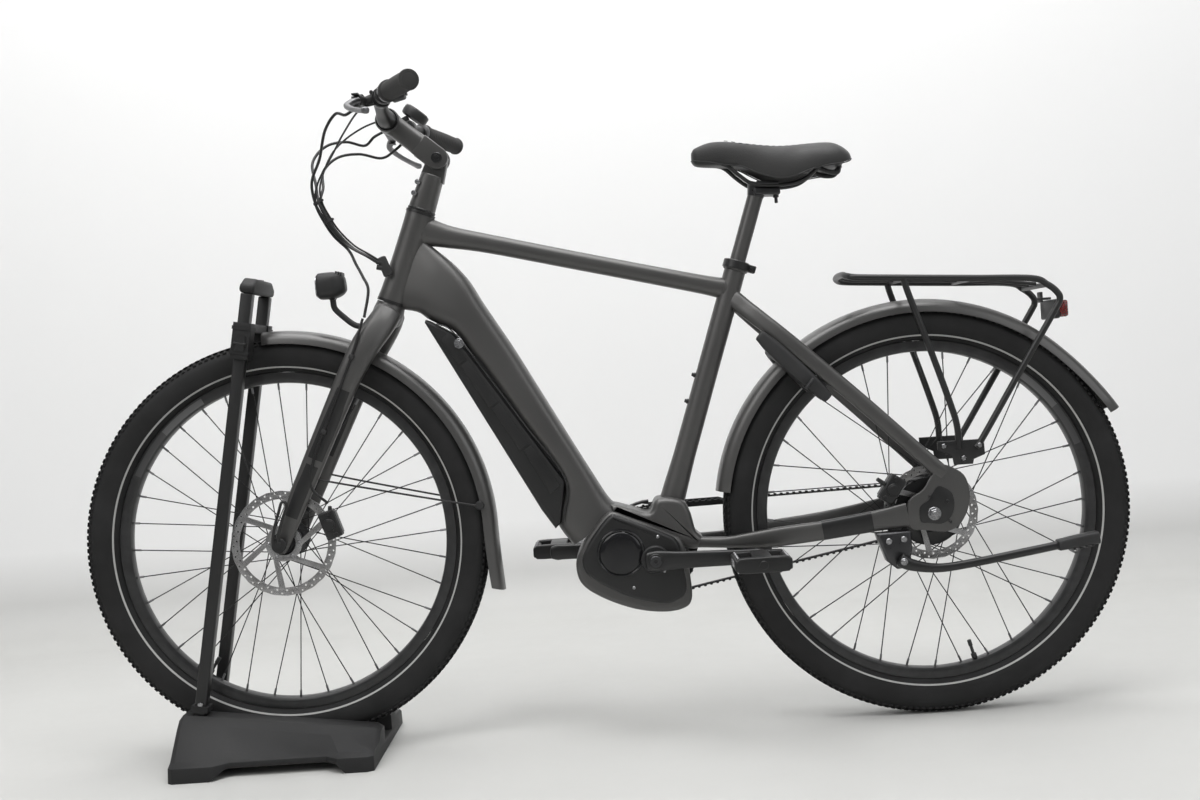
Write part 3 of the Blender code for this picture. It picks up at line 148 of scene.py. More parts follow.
def through(rows, per=5):
    """A smooth run through rows of numbers, with a few steps between each two."""
    if per <= 1 or len(rows) < 3:
        return [list(r) for r in rows]
    rows = [list(r) for r in rows]
    rows = [[2 * a - b for a, b in zip(rows[0], rows[1])]] + rows
    rows.append([2 * a - b for a, b in zip(rows[-1], rows[-2])])
    run = []
    for a, b, c, d in zip(rows, rows[1:], rows[2:], rows[3:]):
        for i in range(per):
            t = i / per
            run.append([0.5 * (2 * q + (r - p) * t + (2 * p - 5 * q + 4 * r - s) * t ** 2
                               + (3 * q - p - 3 * r + s) * t ** 3)
                        for p, q, r, s in zip(a, b, c, d)])
    run.append(rows[-2])
    return run


def tube(stations, count=28, power=2.0, lateral=Y_AXIS, per=5, cap=0.0):
    """A swept bar: each station is (x, y, z, half width, half height); cap rounds its ends."""
    run = through(stations, per)
    points = [Vector(r[:3]) for r in run]
    rings = []
    for i, row in enumerate(run):
        ahead = (points[min(i + 1, len(points) - 1)] - points[max(i - 1, 0)]).normalized()
        up = ahead.cross(lateral).normalized()
        side = up.cross(ahead).normalized()
        rings.append((points[i], side, up, row[3], row[4], ahead))
    if cap:
        for end, sign in ((0, -1), (-1, 1)):
            at, side, up, wide, high, ahead = rings[end]
            rounds = []
            for part in (0.35, 0.7, 0.92, 1.0):
                shrink = math.sqrt(max(0.0, 1 - part ** 2)) * 0.96 + 0.04
                rounds.append((at + ahead * sign * cap * part, side, up,
                               wide * shrink, high * shrink, ahead))
            rings = list(reversed(rounds)) + rings if end == 0 else rings + rounds
    return loft([ring(*r[:5], count, power) for r in rings])


def pipe(points, radius, count=14, per=6):
    """A round hose or bar through points, its section carried along without twist."""
    run = [Vector(p) for p in through(points, per)]
    ahead = (run[1] - run[0]).normalized()
    side = ahead.orthogonal().normalized()
    rings = []
    for i, point in enumerate(run):
        ahead = (run[min(i + 1, len(run) - 1)] - run[max(i - 1, 0)]).normalized()
        side = (side - ahead * side.dot(ahead)).normalized()
        rings.append(ring(point, side, ahead.cross(side), radius, radius, count))
    return loft(rings)


def rod(start, end, radius, last=None, count=32):
    """A round bar between two points, with broken edges."""
    start, end = Vector(start), Vector(end)
    ahead = (end - start).normalized()
    side = ahead.orthogonal().normalized()
    last = radius if last is None else last
    edge = min(ROD_EDGE, radius / 3, last / 3, (end - start).length / 3)
    rows = ((start, radius - edge), (start + ahead * edge, radius),
            (end - ahead * edge, last), (end, last - edge))
    return loft([ring(p, side, ahead.cross(side), r, r, count) for p, r in rows])


def turned(profile, centre, axis=Y_AXIS, count=96):
    """Turns (radius, height) points round an axis; all radii are above 0."""
    axis = Vector(axis).normalized()
    side = Vector((1, 0, 0)) if abs(axis.x) < 0.9 else Vector((0, 1, 0))
    side = (side - axis * side.dot(axis)).normalized()
    up = axis.cross(side)
    rings = []
    for i in range(count):
        angle = 2 * math.pi * i / count
        out = side * math.cos(angle) + up * math.sin(angle)
        rings.append([Vector(centre) + out * r + axis * h for r, h in profile])
    return loft(rings, closed=True)


def slab(outline, low_y, high_y, edge=0.0015, segments=3):
    """An outline of (x, z) points thickened along Y, with rounded rims."""
    shape = bmesh.new()
    face = shape.faces.new([shape.verts.new((x, low_y, z)) for x, z in outline])
    made = bmesh.ops.extrude_face_region(shape, geom=[face])
    moved = [v for v in made["geom"] if isinstance(v, bmesh.types.BMVert)]
    bmesh.ops.translate(shape, verts=moved, vec=(0, high_y - low_y, 0))
    bmesh.ops.recalc_face_normals(shape, faces=shape.faces)
    if edge:
        rims = [e for e in shape.edges if abs(e.verts[0].co.y - e.verts[1].co.y) < 1e-9]
        bmesh.ops.bevel(shape, geom=rims, offset=edge, segments=segments, affect="EDGES",
                        profile=0.5, clamp_overlap=True)
    return shape


def rounded(loop, per=6):
    """A closed outline of (x, z) points, drawn smoothly through its corners."""
    count, run = len(loop), []
    for k in range(count):
        p, q, r, s = (loop[(k + j) % count] for j in (-1, 0, 1, 2))
        run += [tuple(0.5 * (2 * b + (c - a) * t + (2 * a - 5 * b + 4 * c - d) * t ** 2
                             + (3 * b - a - 3 * c + d) * t ** 3)
                      for a, b, c, d in zip(p, q, r, s))
                for t in (i / per for i in range(per))]
    return run


def pillow(outline, low_y, high_y, edge):
    """An outline carried along Y and drawn in at both rims on a quarter circle."""
    points = [Vector((x, 0.0, z)) for x, z in outline]
    centre = sum(points, Vector()) / len(points)
    inward = [(points[(i + 1) % len(points)] - points[i - 1]).cross(Y_AXIS).normalized()
              for i in range(len(points))]
    if sum((centre - p).dot(n) for p, n in zip(points, inward)) < 0:
        inward = [-n for n in inward]
    turns = [(edge * (1 - math.sin(a)), edge * (1 - math.cos(a)))
             for a in (math.radians(15 * i) for i in range(7))]
    rows = [(low_y + rise, inset) for inset, rise in turns]
    rows += [(high_y - rise, inset) for inset, rise in reversed(turns)]
    return loft([[p + n * inset + Y_AXIS * y for p, n in zip(points, inward)]
                 for y, inset in rows])


def block(centre, half, turn=None, edge=0.0015, segments=3):
    """A box with rounded edges, turned by a matrix about its centre."""
    shape = bmesh.new()
    bmesh.ops.create_cube(shape, size=2.0)
    bmesh.ops.scale(shape, verts=shape.verts, vec=half)
    if edge:
        bmesh.ops.bevel(shape, geom=shape.edges[:], offset=edge, segments=segments,
                        affect="EDGES", profile=0.5)
    if turn:
        bmesh.ops.rotate(shape, verts=shape.verts, cent=(0, 0, 0), matrix=turn)
    bmesh.ops.translate(shape, verts=shape.verts, vec=Vector(centre))
    return shape


def about_y(degrees):
    return Matrix.Rotation(math.radians(degrees), 3, "Y")


def head_point(along, behind=0.0):
    return HEAD_MID + HEAD_AXIS * along - HEAD_NORMAL * behind


def polar(centre, radius, degrees, y=0.0):
    angle = math.radians(degrees)
    return Vector((centre.x + radius * math.cos(angle), y, centre.z + radius * math.sin(angle)))


# Pieces -----------------------------------------------------------------------------
def settle(piece, body, slot, nodes=()):
    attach(piece, body)
    if nodes:
        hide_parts(*nodes)
    return piece


def merged(shapes, name, finish, angle=35):
    """One plain mesh object, placed by its points, from one or more closed shapes."""
    total = bmesh.new()
    for shape in shapes:
        part = bpy.data.meshes.new("part")
        shape.to_mesh(part)
        shape.free()
        total.from_mesh(part)
        bpy.data.meshes.remove(part)
    mesh = bpy.data.meshes.new(name)
    total.to_mesh(mesh)
    total.free()
    mesh.shade_smooth()
    mesh.set_sharp_from_angle(angle=math.radians(angle))
    mesh.materials.append(FINISHES[finish])
    made = bpy.data.objects.new(name, mesh)
    bpy.context.scene.collection.objects.link(made)
    return made


def piece(name, shapes, finish, body, nodes=(), slot=None, angle=35):
    shapes = shapes if isinstance(shapes, list) else [shapes]
    return settle(merged(shapes, name, finish, angle), body, slot or SLOTS[finish], nodes)


def plain(made):
    """Turns an object with live modifiers into a plain mesh object of the same name."""
    graph = bpy.context.evaluated_depsgraph_get()
    mesh = bpy.data.meshes.new_from_object(made.evaluated_get(graph))
    made.modifiers.clear()
    made.data = mesh
    return made


def softened(node, finish, body, edge=0.0015, segments=3, angle=32, extra=()):
    """A copy of a CAD node with its points merged and its edges rounded, in its place."""
    mesh = frame["nodes"][node].data.copy()
    mesh.materials.clear()
    shape = bmesh.new()
    shape.from_mesh(mesh)
    bmesh.ops.remove_doubles(shape, verts=shape.verts, dist=2e-6)
    bmesh.ops.dissolve_limit(shape, angle_limit=math.radians(2), verts=shape.verts,
                             edges=shape.edges)
    shape.to_mesh(mesh)
    shape.free()
    made = bpy.data.objects.new(f"{node}_skin", mesh)
    bpy.context.scene.collection.objects.link(made)
    mesh.materials.append(FINISHES[finish])
    if edge:
        step = made.modifiers.new("Round", "BEVEL")
        step.width, step.segments, step.limit_method = edge, segments, "ANGLE"
        step.angle_limit = math.radians(angle)
        step.harden_normals = False
        plain(made)
    if extra:
        shape = bmesh.new()
        shape.from_mesh(made.data)
        for more in extra:
            part = bpy.data.meshes.new("part")
            more.to_mesh(part)
            more.free()
            shape.from_mesh(part)
            bpy.data.meshes.remove(part)
        shape.to_mesh(made.data)
        shape.free()
    made.data.shade_smooth()
    made.data.set_sharp_from_angle(angle=math.radians(40))
    return settle(made, body, SLOTS[finish], [node])


# Geometry node trees -----------------------------------------------------------------
def new_tree(name, inputs):
    """A geometry tree with named inputs; inputs are (name, socket type, default)."""
    tree = bpy.data.node_groups.new(name, "GeometryNodeTree")
    tree.interface.new_socket("Geometry", in_out="INPUT", socket_type="NodeSocketGeometry")
    for label, kind, value in inputs:
        socket = tree.interface.new_socket(label, in_out="INPUT", socket_type=kind)
        if value is not None:
            socket.default_value = value
    tree.interface.new_socket("Geometry", in_out="OUTPUT", socket_type="NodeSocketGeometry")

    def node(kind, settings=None, sockets=None):
        made = tree.nodes.new(kind)
        for key, value in (settings or {}).items():
            setattr(made, key, value)
        for key, value in (sockets or {}).items():
            if isinstance(value, bpy.types.NodeSocket):
                tree.links.new(value, made.inputs[key])
            else:
                made.inputs[key].default_value = value
        return made
    return tree, node, node("NodeGroupInput")


def end_tree(tree, node, geometry, material):
    real = node("GeometryNodeRealizeInstances", sockets={0: geometry})
    painted = node("GeometryNodeSetMaterial", sockets={0: real.outputs[0],
                                                       "Material": material})
    node("NodeGroupOutput", sockets={0: painted.outputs[0]})
    return tree


def ring_tree():
    """Copies of one element round a wheel's axle, turned with their place."""
    tree, node, start = new_tree("Ring of elements", [
        ("Element", "NodeSocketObject", None), ("Count", "NodeSocketInt", 12),
        ("Centre", "NodeSocketVector", (0, 0, 0)), ("First angle", "NodeSocketFloat", 0.0),
        ("Material", "NodeSocketMaterial", None)])
    points = node("GeometryNodePoints", sockets={"Count": start.outputs["Count"]})
    share = node("ShaderNodeMath", {"operation": "DIVIDE"},
                 {0: node("GeometryNodeInputIndex").outputs[0], 1: start.outputs["Count"]})
    angle = node("ShaderNodeMath", {"operation": "MULTIPLY_ADD"},
                 {0: share.outputs[0], 1: 2 * math.pi, 2: start.outputs["First angle"]})
    turn = node("ShaderNodeCombineXYZ", sockets={"Y": angle.outputs[0]})
    placed = node("GeometryNodeSetPosition",
                  sockets={0: points.outputs[0], "Position": start.outputs["Centre"]})
    element = node("GeometryNodeObjectInfo", {"transform_space": "ORIGINAL"},
                   {"Object": start.outputs["Element"]})
    copies = node("GeometryNodeInstanceOnPoints",
                  sockets={"Points": placed.outputs[0],
                           "Instance": element.outputs["Geometry"],
                           "Rotation": turn.outputs[0]})
    return end_tree(tree, node, copies.outputs[0], start.outputs["Material"])


def wire_tree():
    """Round wires along the edges of the object's own mesh."""
    tree, node, start = new_tree("Wires", [
        ("Radius", "NodeSocketFloat", 0.001), ("Sides", "NodeSocketInt", 8),
        ("Material", "NodeSocketMaterial", None)])
    line = node("GeometryNodeMeshToCurve", sockets={0: start.outputs[0]})
    section = node("GeometryNodeCurvePrimitiveCircle",
                   sockets={"Resolution": start.outputs["Sides"],
                            "Radius": start.outputs["Radius"]})
    swept = node("GeometryNodeCurveToMesh", sockets={0: line.outputs[0],
                                                     1: section.outputs[0],
                                                     "Fill Caps": True})
    return end_tree(tree, node, swept.outputs[0], start.outputs["Material"])


def path_tree():
    """Copies of one element, evenly spaced along the object's own closed path."""
    tree, node, start = new_tree("Elements along a path", [
        ("Element", "NodeSocketObject", None), ("Count", "NodeSocketInt", 100),
        ("Material", "NodeSocketMaterial", None)])
    line = node("GeometryNodeMeshToCurve", sockets={0: start.outputs[0]})
    spots = node("GeometryNodeCurveToPoints", {"mode": "COUNT"},
                 {0: line.outputs[0], "Count": start.outputs["Count"]})
    turn = node("FunctionNodeAlignRotationToVector", {"axis": "X", "pivot_axis": "Y"},
                {"Vector": spots.outputs["Tangent"]})
    element = node("GeometryNodeObjectInfo", {"transform_space": "ORIGINAL"},
                   {"Object": start.outputs["Element"]})
    copies = node("GeometryNodeInstanceOnPoints",
                  sockets={"Points": spots.outputs[0],
                           "Instance": element.outputs["Geometry"],
                           "Rotation": turn.outputs[0]})
    return end_tree(tree, node, copies.outputs[0], start.outputs["Material"])


def grown(name, tree, base, values, finish, element=None):
    """Runs a tree on a mesh and keeps its result as one plain mesh object."""
    made = bpy.data.objects.new(name, base or bpy.data.meshes.new(name))
    bpy.context.scene.collection.objects.link(made)
    values = dict(values, Material=FINISHES[finish])
    if element:
        values["Element"] = merged(element, f"{name}_element", finish)
    step = made.modifiers.new("Grow", "NODES")
    step.node_group = tree
    for item in tree.interface.items_tree:
        if item.in_out == "INPUT" and item.name in values:
            step[item.identifier] = values[item.name]
    made.update_tag()
    bpy.context.view_layer.update()
    plain(made)
    if element:
        bpy.data.objects.remove(values["Element"])
    made.data.shade_smooth()
    made.data.set_sharp_from_angle(angle=math.radians(35))
    return made


def edges_mesh(name, runs, closed=False):
    """A mesh of bare edges from runs of points."""
    points, pairs = [], []
    for run in runs:
        first = len(points)
        points += [tuple(p) for p in run]
        pairs += [(first + i, first + i + 1) for i in range(len(run) - 1)]
        if closed:
            pairs.append((len(points) - 1, first))
    mesh = bpy.data.meshes.new(name)
    mesh.from_pydata(points, pairs, [])
    return mesh


# Finishes ---------------------------------------------------------------------------
class Value:
    """A number in a finish's node tree that takes Python's operators."""

    def __init__(self, kit, socket):
        self.kit, self.socket = kit, socket

    def _with(self, operation, first, second):
        return self.kit.value("ShaderNodeMath", {"operation": operation},
                              {0: first, 1: second})

    def __add__(self, other):
        return self._with("ADD", self, other)

    def __mul__(self, other):
        return self._with("MULTIPLY", self, other)

    def __gt__(self, other):
        return self._with("GREATER_THAN", self, other)

    def __lt__(self, other):
        return self._with("LESS_THAN", self, other)

    __radd__, __rmul__ = __add__, __mul__


class Finish:
    """A material whose constants sit on the shader and whose patterns are nodes."""

    def __init__(self, name, colour, rough, metal=0.0, **constants):
        self.made = bpy.data.materials.new(name)
        self.made.use_nodes = True
        self.tree = self.made.node_tree
        self.shader = self.tree.nodes["Principled BSDF"]
        self.set("Base Color", (*colour, 1.0))
        self.set("Roughness", rough)
        self.set("Metallic", metal)
        for key, value in constants.items():
            self.set(key.replace("_", " "), value)
        self.made.diffuse_color = (*colour, 1.0)

    def set(self, socket, value):
        target = self.shader.inputs[socket]
        if isinstance(value, Value):
            value = value.socket
        if isinstance(value, bpy.types.NodeSocket):
            self.tree.links.new(value, target)
        else:
            target.default_value = value

    def node(self, kind, settings=None, sockets=None):
        made = self.tree.nodes.new(kind)
        for key, value in (settings or {}).items():
            setattr(made, key, value)
        for key, value in (sockets or {}).items():
            if isinstance(value, Value):
                value = value.socket
            if isinstance(value, bpy.types.NodeSocket):
                self.tree.links.new(value, made.inputs[key])
            else:
                made.inputs[key].default_value = value
        return made

    def value(self, kind, settings=None, sockets=None):
        return Value(self, self.node(kind, settings, sockets).outputs[0])

    def place(self, stretch=None, centre=(0, 0, 0)):
        spot = self.node("ShaderNodeTexCoord").outputs["Object"]
        if stretch is None and centre == (0, 0, 0):
            return spot
        moved = self.node("ShaderNodeVectorMath", {"operation": "SUBTRACT"},
                          {0: spot, 1: tuple(centre)}).outputs[0]
        if stretch is None:
            return moved
        return self.node("ShaderNodeVectorMath", {"operation": "MULTIPLY"},
                         {0: moved, 1: stretch}).outputs[0]

    def noise(self, scale, detail=3.0, stretch=None, rough=0.5):
        return self.value("ShaderNodeTexNoise", None,
                          {"Vector": self.place(stretch), "Scale": scale,
                           "Detail": detail, "Roughness": rough})

    def cells(self, scale, feature="F1", stretch=None):
        return self.value("ShaderNodeTexVoronoi", {"feature": feature},
                          {"Vector": self.place(stretch), "Scale": scale})

    def wheel(self, centre):
        """Distance from a wheel's axle and angle round it."""
        parts = self.node("ShaderNodeSeparateXYZ", None, {0: self.place(centre=centre)})
        x, z = (Value(self, parts.outputs[i]) for i in (0, 2))
        radius = self.value("ShaderNodeMath", {"operation": "SQRT"}, {0: x * x + z * z})
        angle = self.value("ShaderNodeMath", {"operation": "ARCTAN2"}, {0: z, 1: x})
        return radius, angle

    def bend(self, value, low, high, to_low, to_high):
        return self.value("ShaderNodeMapRange", {"clamp": True},
                          {0: value, 1: low, 2: high, 3: to_low, 4: to_high})

    def blend(self, mask, first, second):
        mix = self.node("ShaderNodeMix", {"data_type": "RGBA"}, {0: mask})
        for index, colour in ((6, first), (7, second)):
            if isinstance(colour, bpy.types.NodeSocket):
                self.tree.links.new(colour, mix.inputs[index])
            else:
                mix.inputs[index].default_value = (*colour, 1.0)
        return mix.outputs[2]

    def bump(self, height, strength, distance):
        made = self.node("ShaderNodeBump", None, {"Height": height, "Strength": strength,
                                                  "Distance": distance})
        self.set("Normal", made.outputs[0])


FINISHES = {}
SLOTS = {
    "frame_paint": "frame_grey", "fork_panel": "black_paint", "black_gloss": "black_paint",
    "black_satin": "black_paint", "moulded": "black_plastic", "stand_plastic": "black_plastic",
    "stand_paint": "black_paint", "tyre": "rubber", "belt_rubber": "rubber",
    "grip": "grip_rubber",
    "rim": "black_paint", "spoke": "steel", "disc_steel": "steel", "steel": "steel",
    "alloy": "alloy", "dark_alloy": "alloy", "lens": "black_plastic", "red_lens": "red_lens",
    "leather": "saddle_cover", "cable": "black_plastic", "glass_black": "black_plastic",
    "seam": "saddle_cover", "reflector": "black_plastic", "guard_paint": "frame_grey",
    "battery_skin": "black_plastic",
}


def keep(key, finish):
    FINISHES[key] = finish.made
    return finish


def paint(key, colour, rough, metal, coat, grain=0.06):
    """Sprayed paint: faint flake, a slow drift in tone, and orange peel."""
    made = keep(key, Finish(key, colour, rough, metal, Coat_Weight=coat, Coat_Roughness=0.22))
    flake = made.noise(2600.0, 2.0)
    drift = made.noise(5.0, 3.0)
    darker = tuple(c * (1 - grain * 1.6) for c in colour)
    lighter = tuple(min(1.0, c * (1 + grain * 2.2)) for c in colour)
    made.set("Base Color", made.blend(made.bend(flake * 0.6 + drift * 0.4, 0.35, 0.68, 0, 1),
                                      darker, lighter))
    made.set("Roughness", made.bend(drift + flake * 0.3, 0.45, 0.85, rough * 0.88, rough * 1.14))
    made.bump(made.noise(420.0, 2.0), 0.06, 0.0006)


def plastic(key, colour, rough, grain=900.0, depth=0.25, scuff=0.5):
    """Moulded plastic: fine spark-eroded grain and slightly rubbed, dusty patches."""
    made = keep(key, Finish(key, colour, rough, Specular_IOR_Level=0.42))
    cloud = made.noise(11.0, 5.0)
    grey = tuple(c * (1 + scuff) + 0.004 * scuff for c in colour)
    made.set("Base Color", made.blend(made.bend(cloud, 0.4, 0.72, 0, 1), colour, grey))
    made.set("Roughness", made.bend(cloud, 0.3, 0.72, rough * 0.86, min(1.0, rough * 1.14)))
    made.bump(made.cells(grain), depth, 0.0003)


def metal(key, colour, rough):
    made = keep(key, Finish(key, colour, rough, 1.0))
    line = made.noise(300.0, 4.0)
    drift = made.noise(14.0, 3.0)
    made.set("Base Color", made.blend(made.bend(drift, 0.35, 0.7, 0, 1), colour,
                                      tuple(c * 0.72 for c in colour)))
    made.set("Roughness", made.bend(line, 0.3, 0.7, rough * 0.75, rough * 1.3))
    made.bump(line, 0.08, 0.0002)


def wheel_finishes(props):
    """Tyres and rims, whose stripes and patches follow the distance from each axle."""
    for word, centre, patches in (("front", FRONT, ((2.05, 2.36, 1), (2.36, 2.67, 0))),
                                  ("rear", REAR, ((0.62, 0.9, 1), (0.35, 0.62, 0)))):
        made = keep(f"tyre_{word}", Finish(f"tyre_{word}", props.tyre, 0.82,
                                           Specular_IOR_Level=0.3))
        SLOTS[f"tyre_{word}"] = "rubber"
        radius = made.wheel(centre)[0]
        dust = made.noise(16.0, 5.0)
        stripe = (radius > 0.2995) * (radius < 0.3022)
        rubber = made.blend(made.bend(dust, 0.42, 0.74, 0, 1), props.tyre,
                            tuple(c * 1.9 for c in props.tyre))
        made.set("Base Color", made.blend(stripe, rubber, (0.42, 0.42, 0.41)))
        made.set("Roughness", made.bend(dust + stripe * -0.6, 0.3, 0.8, 0.62, 0.88))
        ribs = made.value("ShaderNodeMath", {"operation": "SINE"}, {0: radius * 2600.0})
        wall = made.bend(radius, 0.322, 0.326, 1, 0)
        made.bump(ribs * wall * 0.35 + made.noise(700.0, 3.0) * 0.5, 0.22, 0.0006)

        made = keep(f"rim_{word}", Finish(f"rim_{word}", (0.016, 0.016, 0.0165), 0.36,
                                          Coat_Weight=0.15))
        SLOTS[f"rim_{word}"] = "black_paint"
        radius, angle = made.wheel(centre)
        wear = made.noise(60.0, 4.0)
        tone = made.blend(made.bend(wear, 0.4, 0.75, 0, 1), (0.015, 0.015, 0.0155),
                          (0.026, 0.026, 0.027))
        for low, high, bright in patches:
            inside = (angle > low) * (angle < high) * (radius > 0.2775) * (radius < 0.2885)
            tone = made.blend(inside, tone, (0.105, 0.105, 0.106) if bright
                              else (0.05, 0.05, 0.051))
        made.set("Base Color", tone)
        made.set("Roughness", made.bend(wear, 0.3, 0.7, 0.3, 0.44))
        made.bump(made.noise(500.0, 2.0), 0.04, 0.0004)


def make_finishes(props):
    paint("frame_paint", props.frame, 0.4, 0.55, 0.12)
    paint("guard_paint", props.frame, 0.34, 0.45, 0.25)
    paint("fork_panel", props.black, 0.36, 0.1, 0.2)
    paint("black_gloss", props.black, 0.24, 0.0, 0.45, 0.03)
    paint("black_satin", props.black, 0.4, 0.0, 0.1, 0.05)
    paint("stand_paint", props.black, 0.44, 0.0, 0.05, 0.08)
    plastic("moulded", (0.02, 0.02, 0.0205), 0.5)
    plastic("battery_skin", (0.012, 0.012, 0.0122), 0.42, 1400.0, 0.18, 0.3)
    plastic("stand_plastic", props.stand, 0.6, 520.0, 0.5, 0.7)
    plastic("belt_rubber", (0.014, 0.014, 0.0142), 0.66, 700.0, 0.2)
    plastic("cable", (0.013, 0.013, 0.0132), 0.38, 2200.0, 0.1, 0.3)
    plastic("grip", (0.027, 0.0265, 0.026), 0.74, 1500.0, 0.4, 0.6)
    plastic("glass_black", (0.008, 0.008, 0.009), 0.12, 40.0, 0.0, 0.1)
    plastic("reflector", (0.3, 0.3, 0.305), 0.22, 620.0, 0.5, 0.2)
    paint("spoke", (0.013, 0.013, 0.0135), 0.34, 0.35, 0.0)
    metal("steel", (0.42, 0.42, 0.43), 0.28)
    metal("alloy", (0.2, 0.2, 0.205), 0.36)
    metal("dark_alloy", (0.085, 0.085, 0.088), 0.36)
    made = keep("disc_steel", Finish("disc_steel", (0.36, 0.36, 0.365), 0.3, 1.0))
    grind = made.noise(900.0, 3.0, (1.0, 0.02, 1.0))
    heat = made.noise(26.0, 3.0)
    made.set("Base Color", made.blend(made.bend(heat, 0.35, 0.72, 0, 1), (0.4, 0.4, 0.405),
                                      (0.25, 0.245, 0.24)))
    made.set("Roughness", made.bend(grind, 0.3, 0.7, 0.22, 0.4))
    made.bump(grind, 0.1, 0.0002)
    made = keep("lens", Finish("lens", (0.62, 0.63, 0.65), 0.1, 0.6, Coat_Weight=1.0,
                               Coat_Roughness=0.03))
    facets = made.cells(260.0)
    made.set("Base Color", made.blend(made.bend(facets, 0.1, 0.6, 0, 1), (0.7, 0.71, 0.73),
                                      (0.22, 0.22, 0.24)))
    made.bump(facets, 0.6, 0.0012)
    made = keep("red_lens", Finish("red_lens", (0.16, 0.008, 0.008), 0.14, Coat_Weight=1.0,
                                   Coat_Roughness=0.04))
    facets = made.cells(330.0)
    made.set("Base Color", made.blend(made.bend(facets, 0.1, 0.6, 0, 1), (0.24, 0.012, 0.01),
                                      (0.07, 0.003, 0.003)))
    made.bump(facets, 0.5, 0.001)
    made = keep("leather", Finish("leather", props.saddle, 0.58, Specular_IOR_Level=0.4,
                                  Sheen_Weight=0.12, Sheen_Roughness=0.5))
    grain = made.cells(560.0, "F1", (1.0, 1.0, 0.8)) + made.noise(1500.0, 3.0) * 0.35
    rub = made.noise(18.0, 4.0)
    made.set("Base Color", made.blend(made.bend(rub, 0.4, 0.72, 0, 1), props.saddle,
                                      tuple(c * 1.6 for c in props.saddle)))
    made.set("Roughness", made.bend(rub, 0.3, 0.72, 0.46, 0.7))
    made.bump(grain, 0.32, 0.0006)
    plastic("seam", (0.02, 0.02, 0.02), 0.7, 2400.0, 0.5, 0.4)
    wheel_finishes(props)


def floor_finish(colour):
    made = keep("floor", Finish("studio_floor", colour, 0.62))
    parts = made.node("ShaderNodeSeparateXYZ", None, {0: made.place()})
    height = made.bend(Value(made, parts.outputs[2]), 0.03, 0.25, 0.0, 1.0)
    cloud = made.noise(1.3, 6.0, rough=0.6)
    spots = made.noise(22.0, 6.0, rough=0.7)
    darker = tuple(c * 0.93 for c in colour)
    ground = made.blend(made.bend(cloud * 0.7 + spots * 0.3, 0.38, 0.66, 0, 1), darker, colour)
    made.set("Base Color", made.blend(height, ground, (0.88, 0.88, 0.88)))
    made.set("Roughness", made.bend(spots, 0.3, 0.7, 0.5, 0.72))
    made.bump(spots, 0.05, 0.002)
    return made.made


# Wheels -----------------------------------------------------------------------------
def tyre_shape(centre):
    outer = [(0.2923, 0.012), (0.2945, 0.0168), (0.299, 0.0212), (0.3035, 0.024), (0.31, 0.0264),
             (0.317, 0.0278), (0.323, 0.0283), (0.329, 0.0279), (0.333, 0.027),
             (0.338, 0.024), (0.3425, 0.0196), (0.346, 0.014), (0.3476, 0.008), (0.348, 0.0)]
    inner = [(0.2923, 0.0085), (0.302, 0.016), (0.312, 0.0215), (0.325, 0.0232),
             (0.336, 0.019), (0.3425, 0.009), (0.343, 0.0)]
    loop = outer + [(r, -y) for r, y in reversed(outer[:-1])]
    loop += [(r, -y) for r, y in inner] + [(r, y) for r, y in reversed(inner[:-1])]
    return turned(loop, centre, count=192)


def make_tyres(count):
    tree = ring_tree()
    for word, centre in (("front", FRONT), ("rear", REAR)):
        piece(f"{word}_tyre_casing", tyre_shape(centre), f"tyre_{word}", f"{word}_wheel",
              [f"{word}_tyre"])
        rows = (  # distance from the axle, from the middle plane, half sizes, tilt, phase
            (0.3477, 0.0056, (0.0011, 0.0042, 0.0044), 0, 0.0),
            (0.3458, 0.015, (0.0012, 0.0036, 0.0038), -24, 0.5),
            (0.3402, 0.0224, (0.0014, 0.003, 0.0032), -50, 0.0))
        knobs = []
        for side in (-1, 1):
            for row, (out, off, half, tilt, phase) in enumerate(rows):
                turn = Matrix.Rotation(math.radians(side * tilt), 3, "Z")
                knob = block((0, 0, 0), half, edge=0.0008, segments=1)
                skew = math.radians(16 * side) if row == 0 else 0.0
                bmesh.ops.rotate(knob, verts=knob.verts, cent=(0, 0, 0),
                                 matrix=turn @ Matrix.Rotation(skew, 3, "X"))
                step = 2 * math.pi / count
                shift = (phase + (0.25 if side > 0 else 0.0)) * step
                bmesh.ops.translate(knob, verts=knob.verts, vec=(out, side * off, 0))
                bmesh.ops.rotate(knob, verts=knob.verts, cent=(0, 0, 0),
                                 matrix=Matrix.Rotation(shift, 3, "Y"))
                knobs.append(knob)
        made = grown(f"{word}_tyre_tread", tree, None,
                     {"Count": count, "Centre": tuple(centre)}, f"tyre_{word}", knobs)
        settle(made, f"{word}_wheel", "rubber")


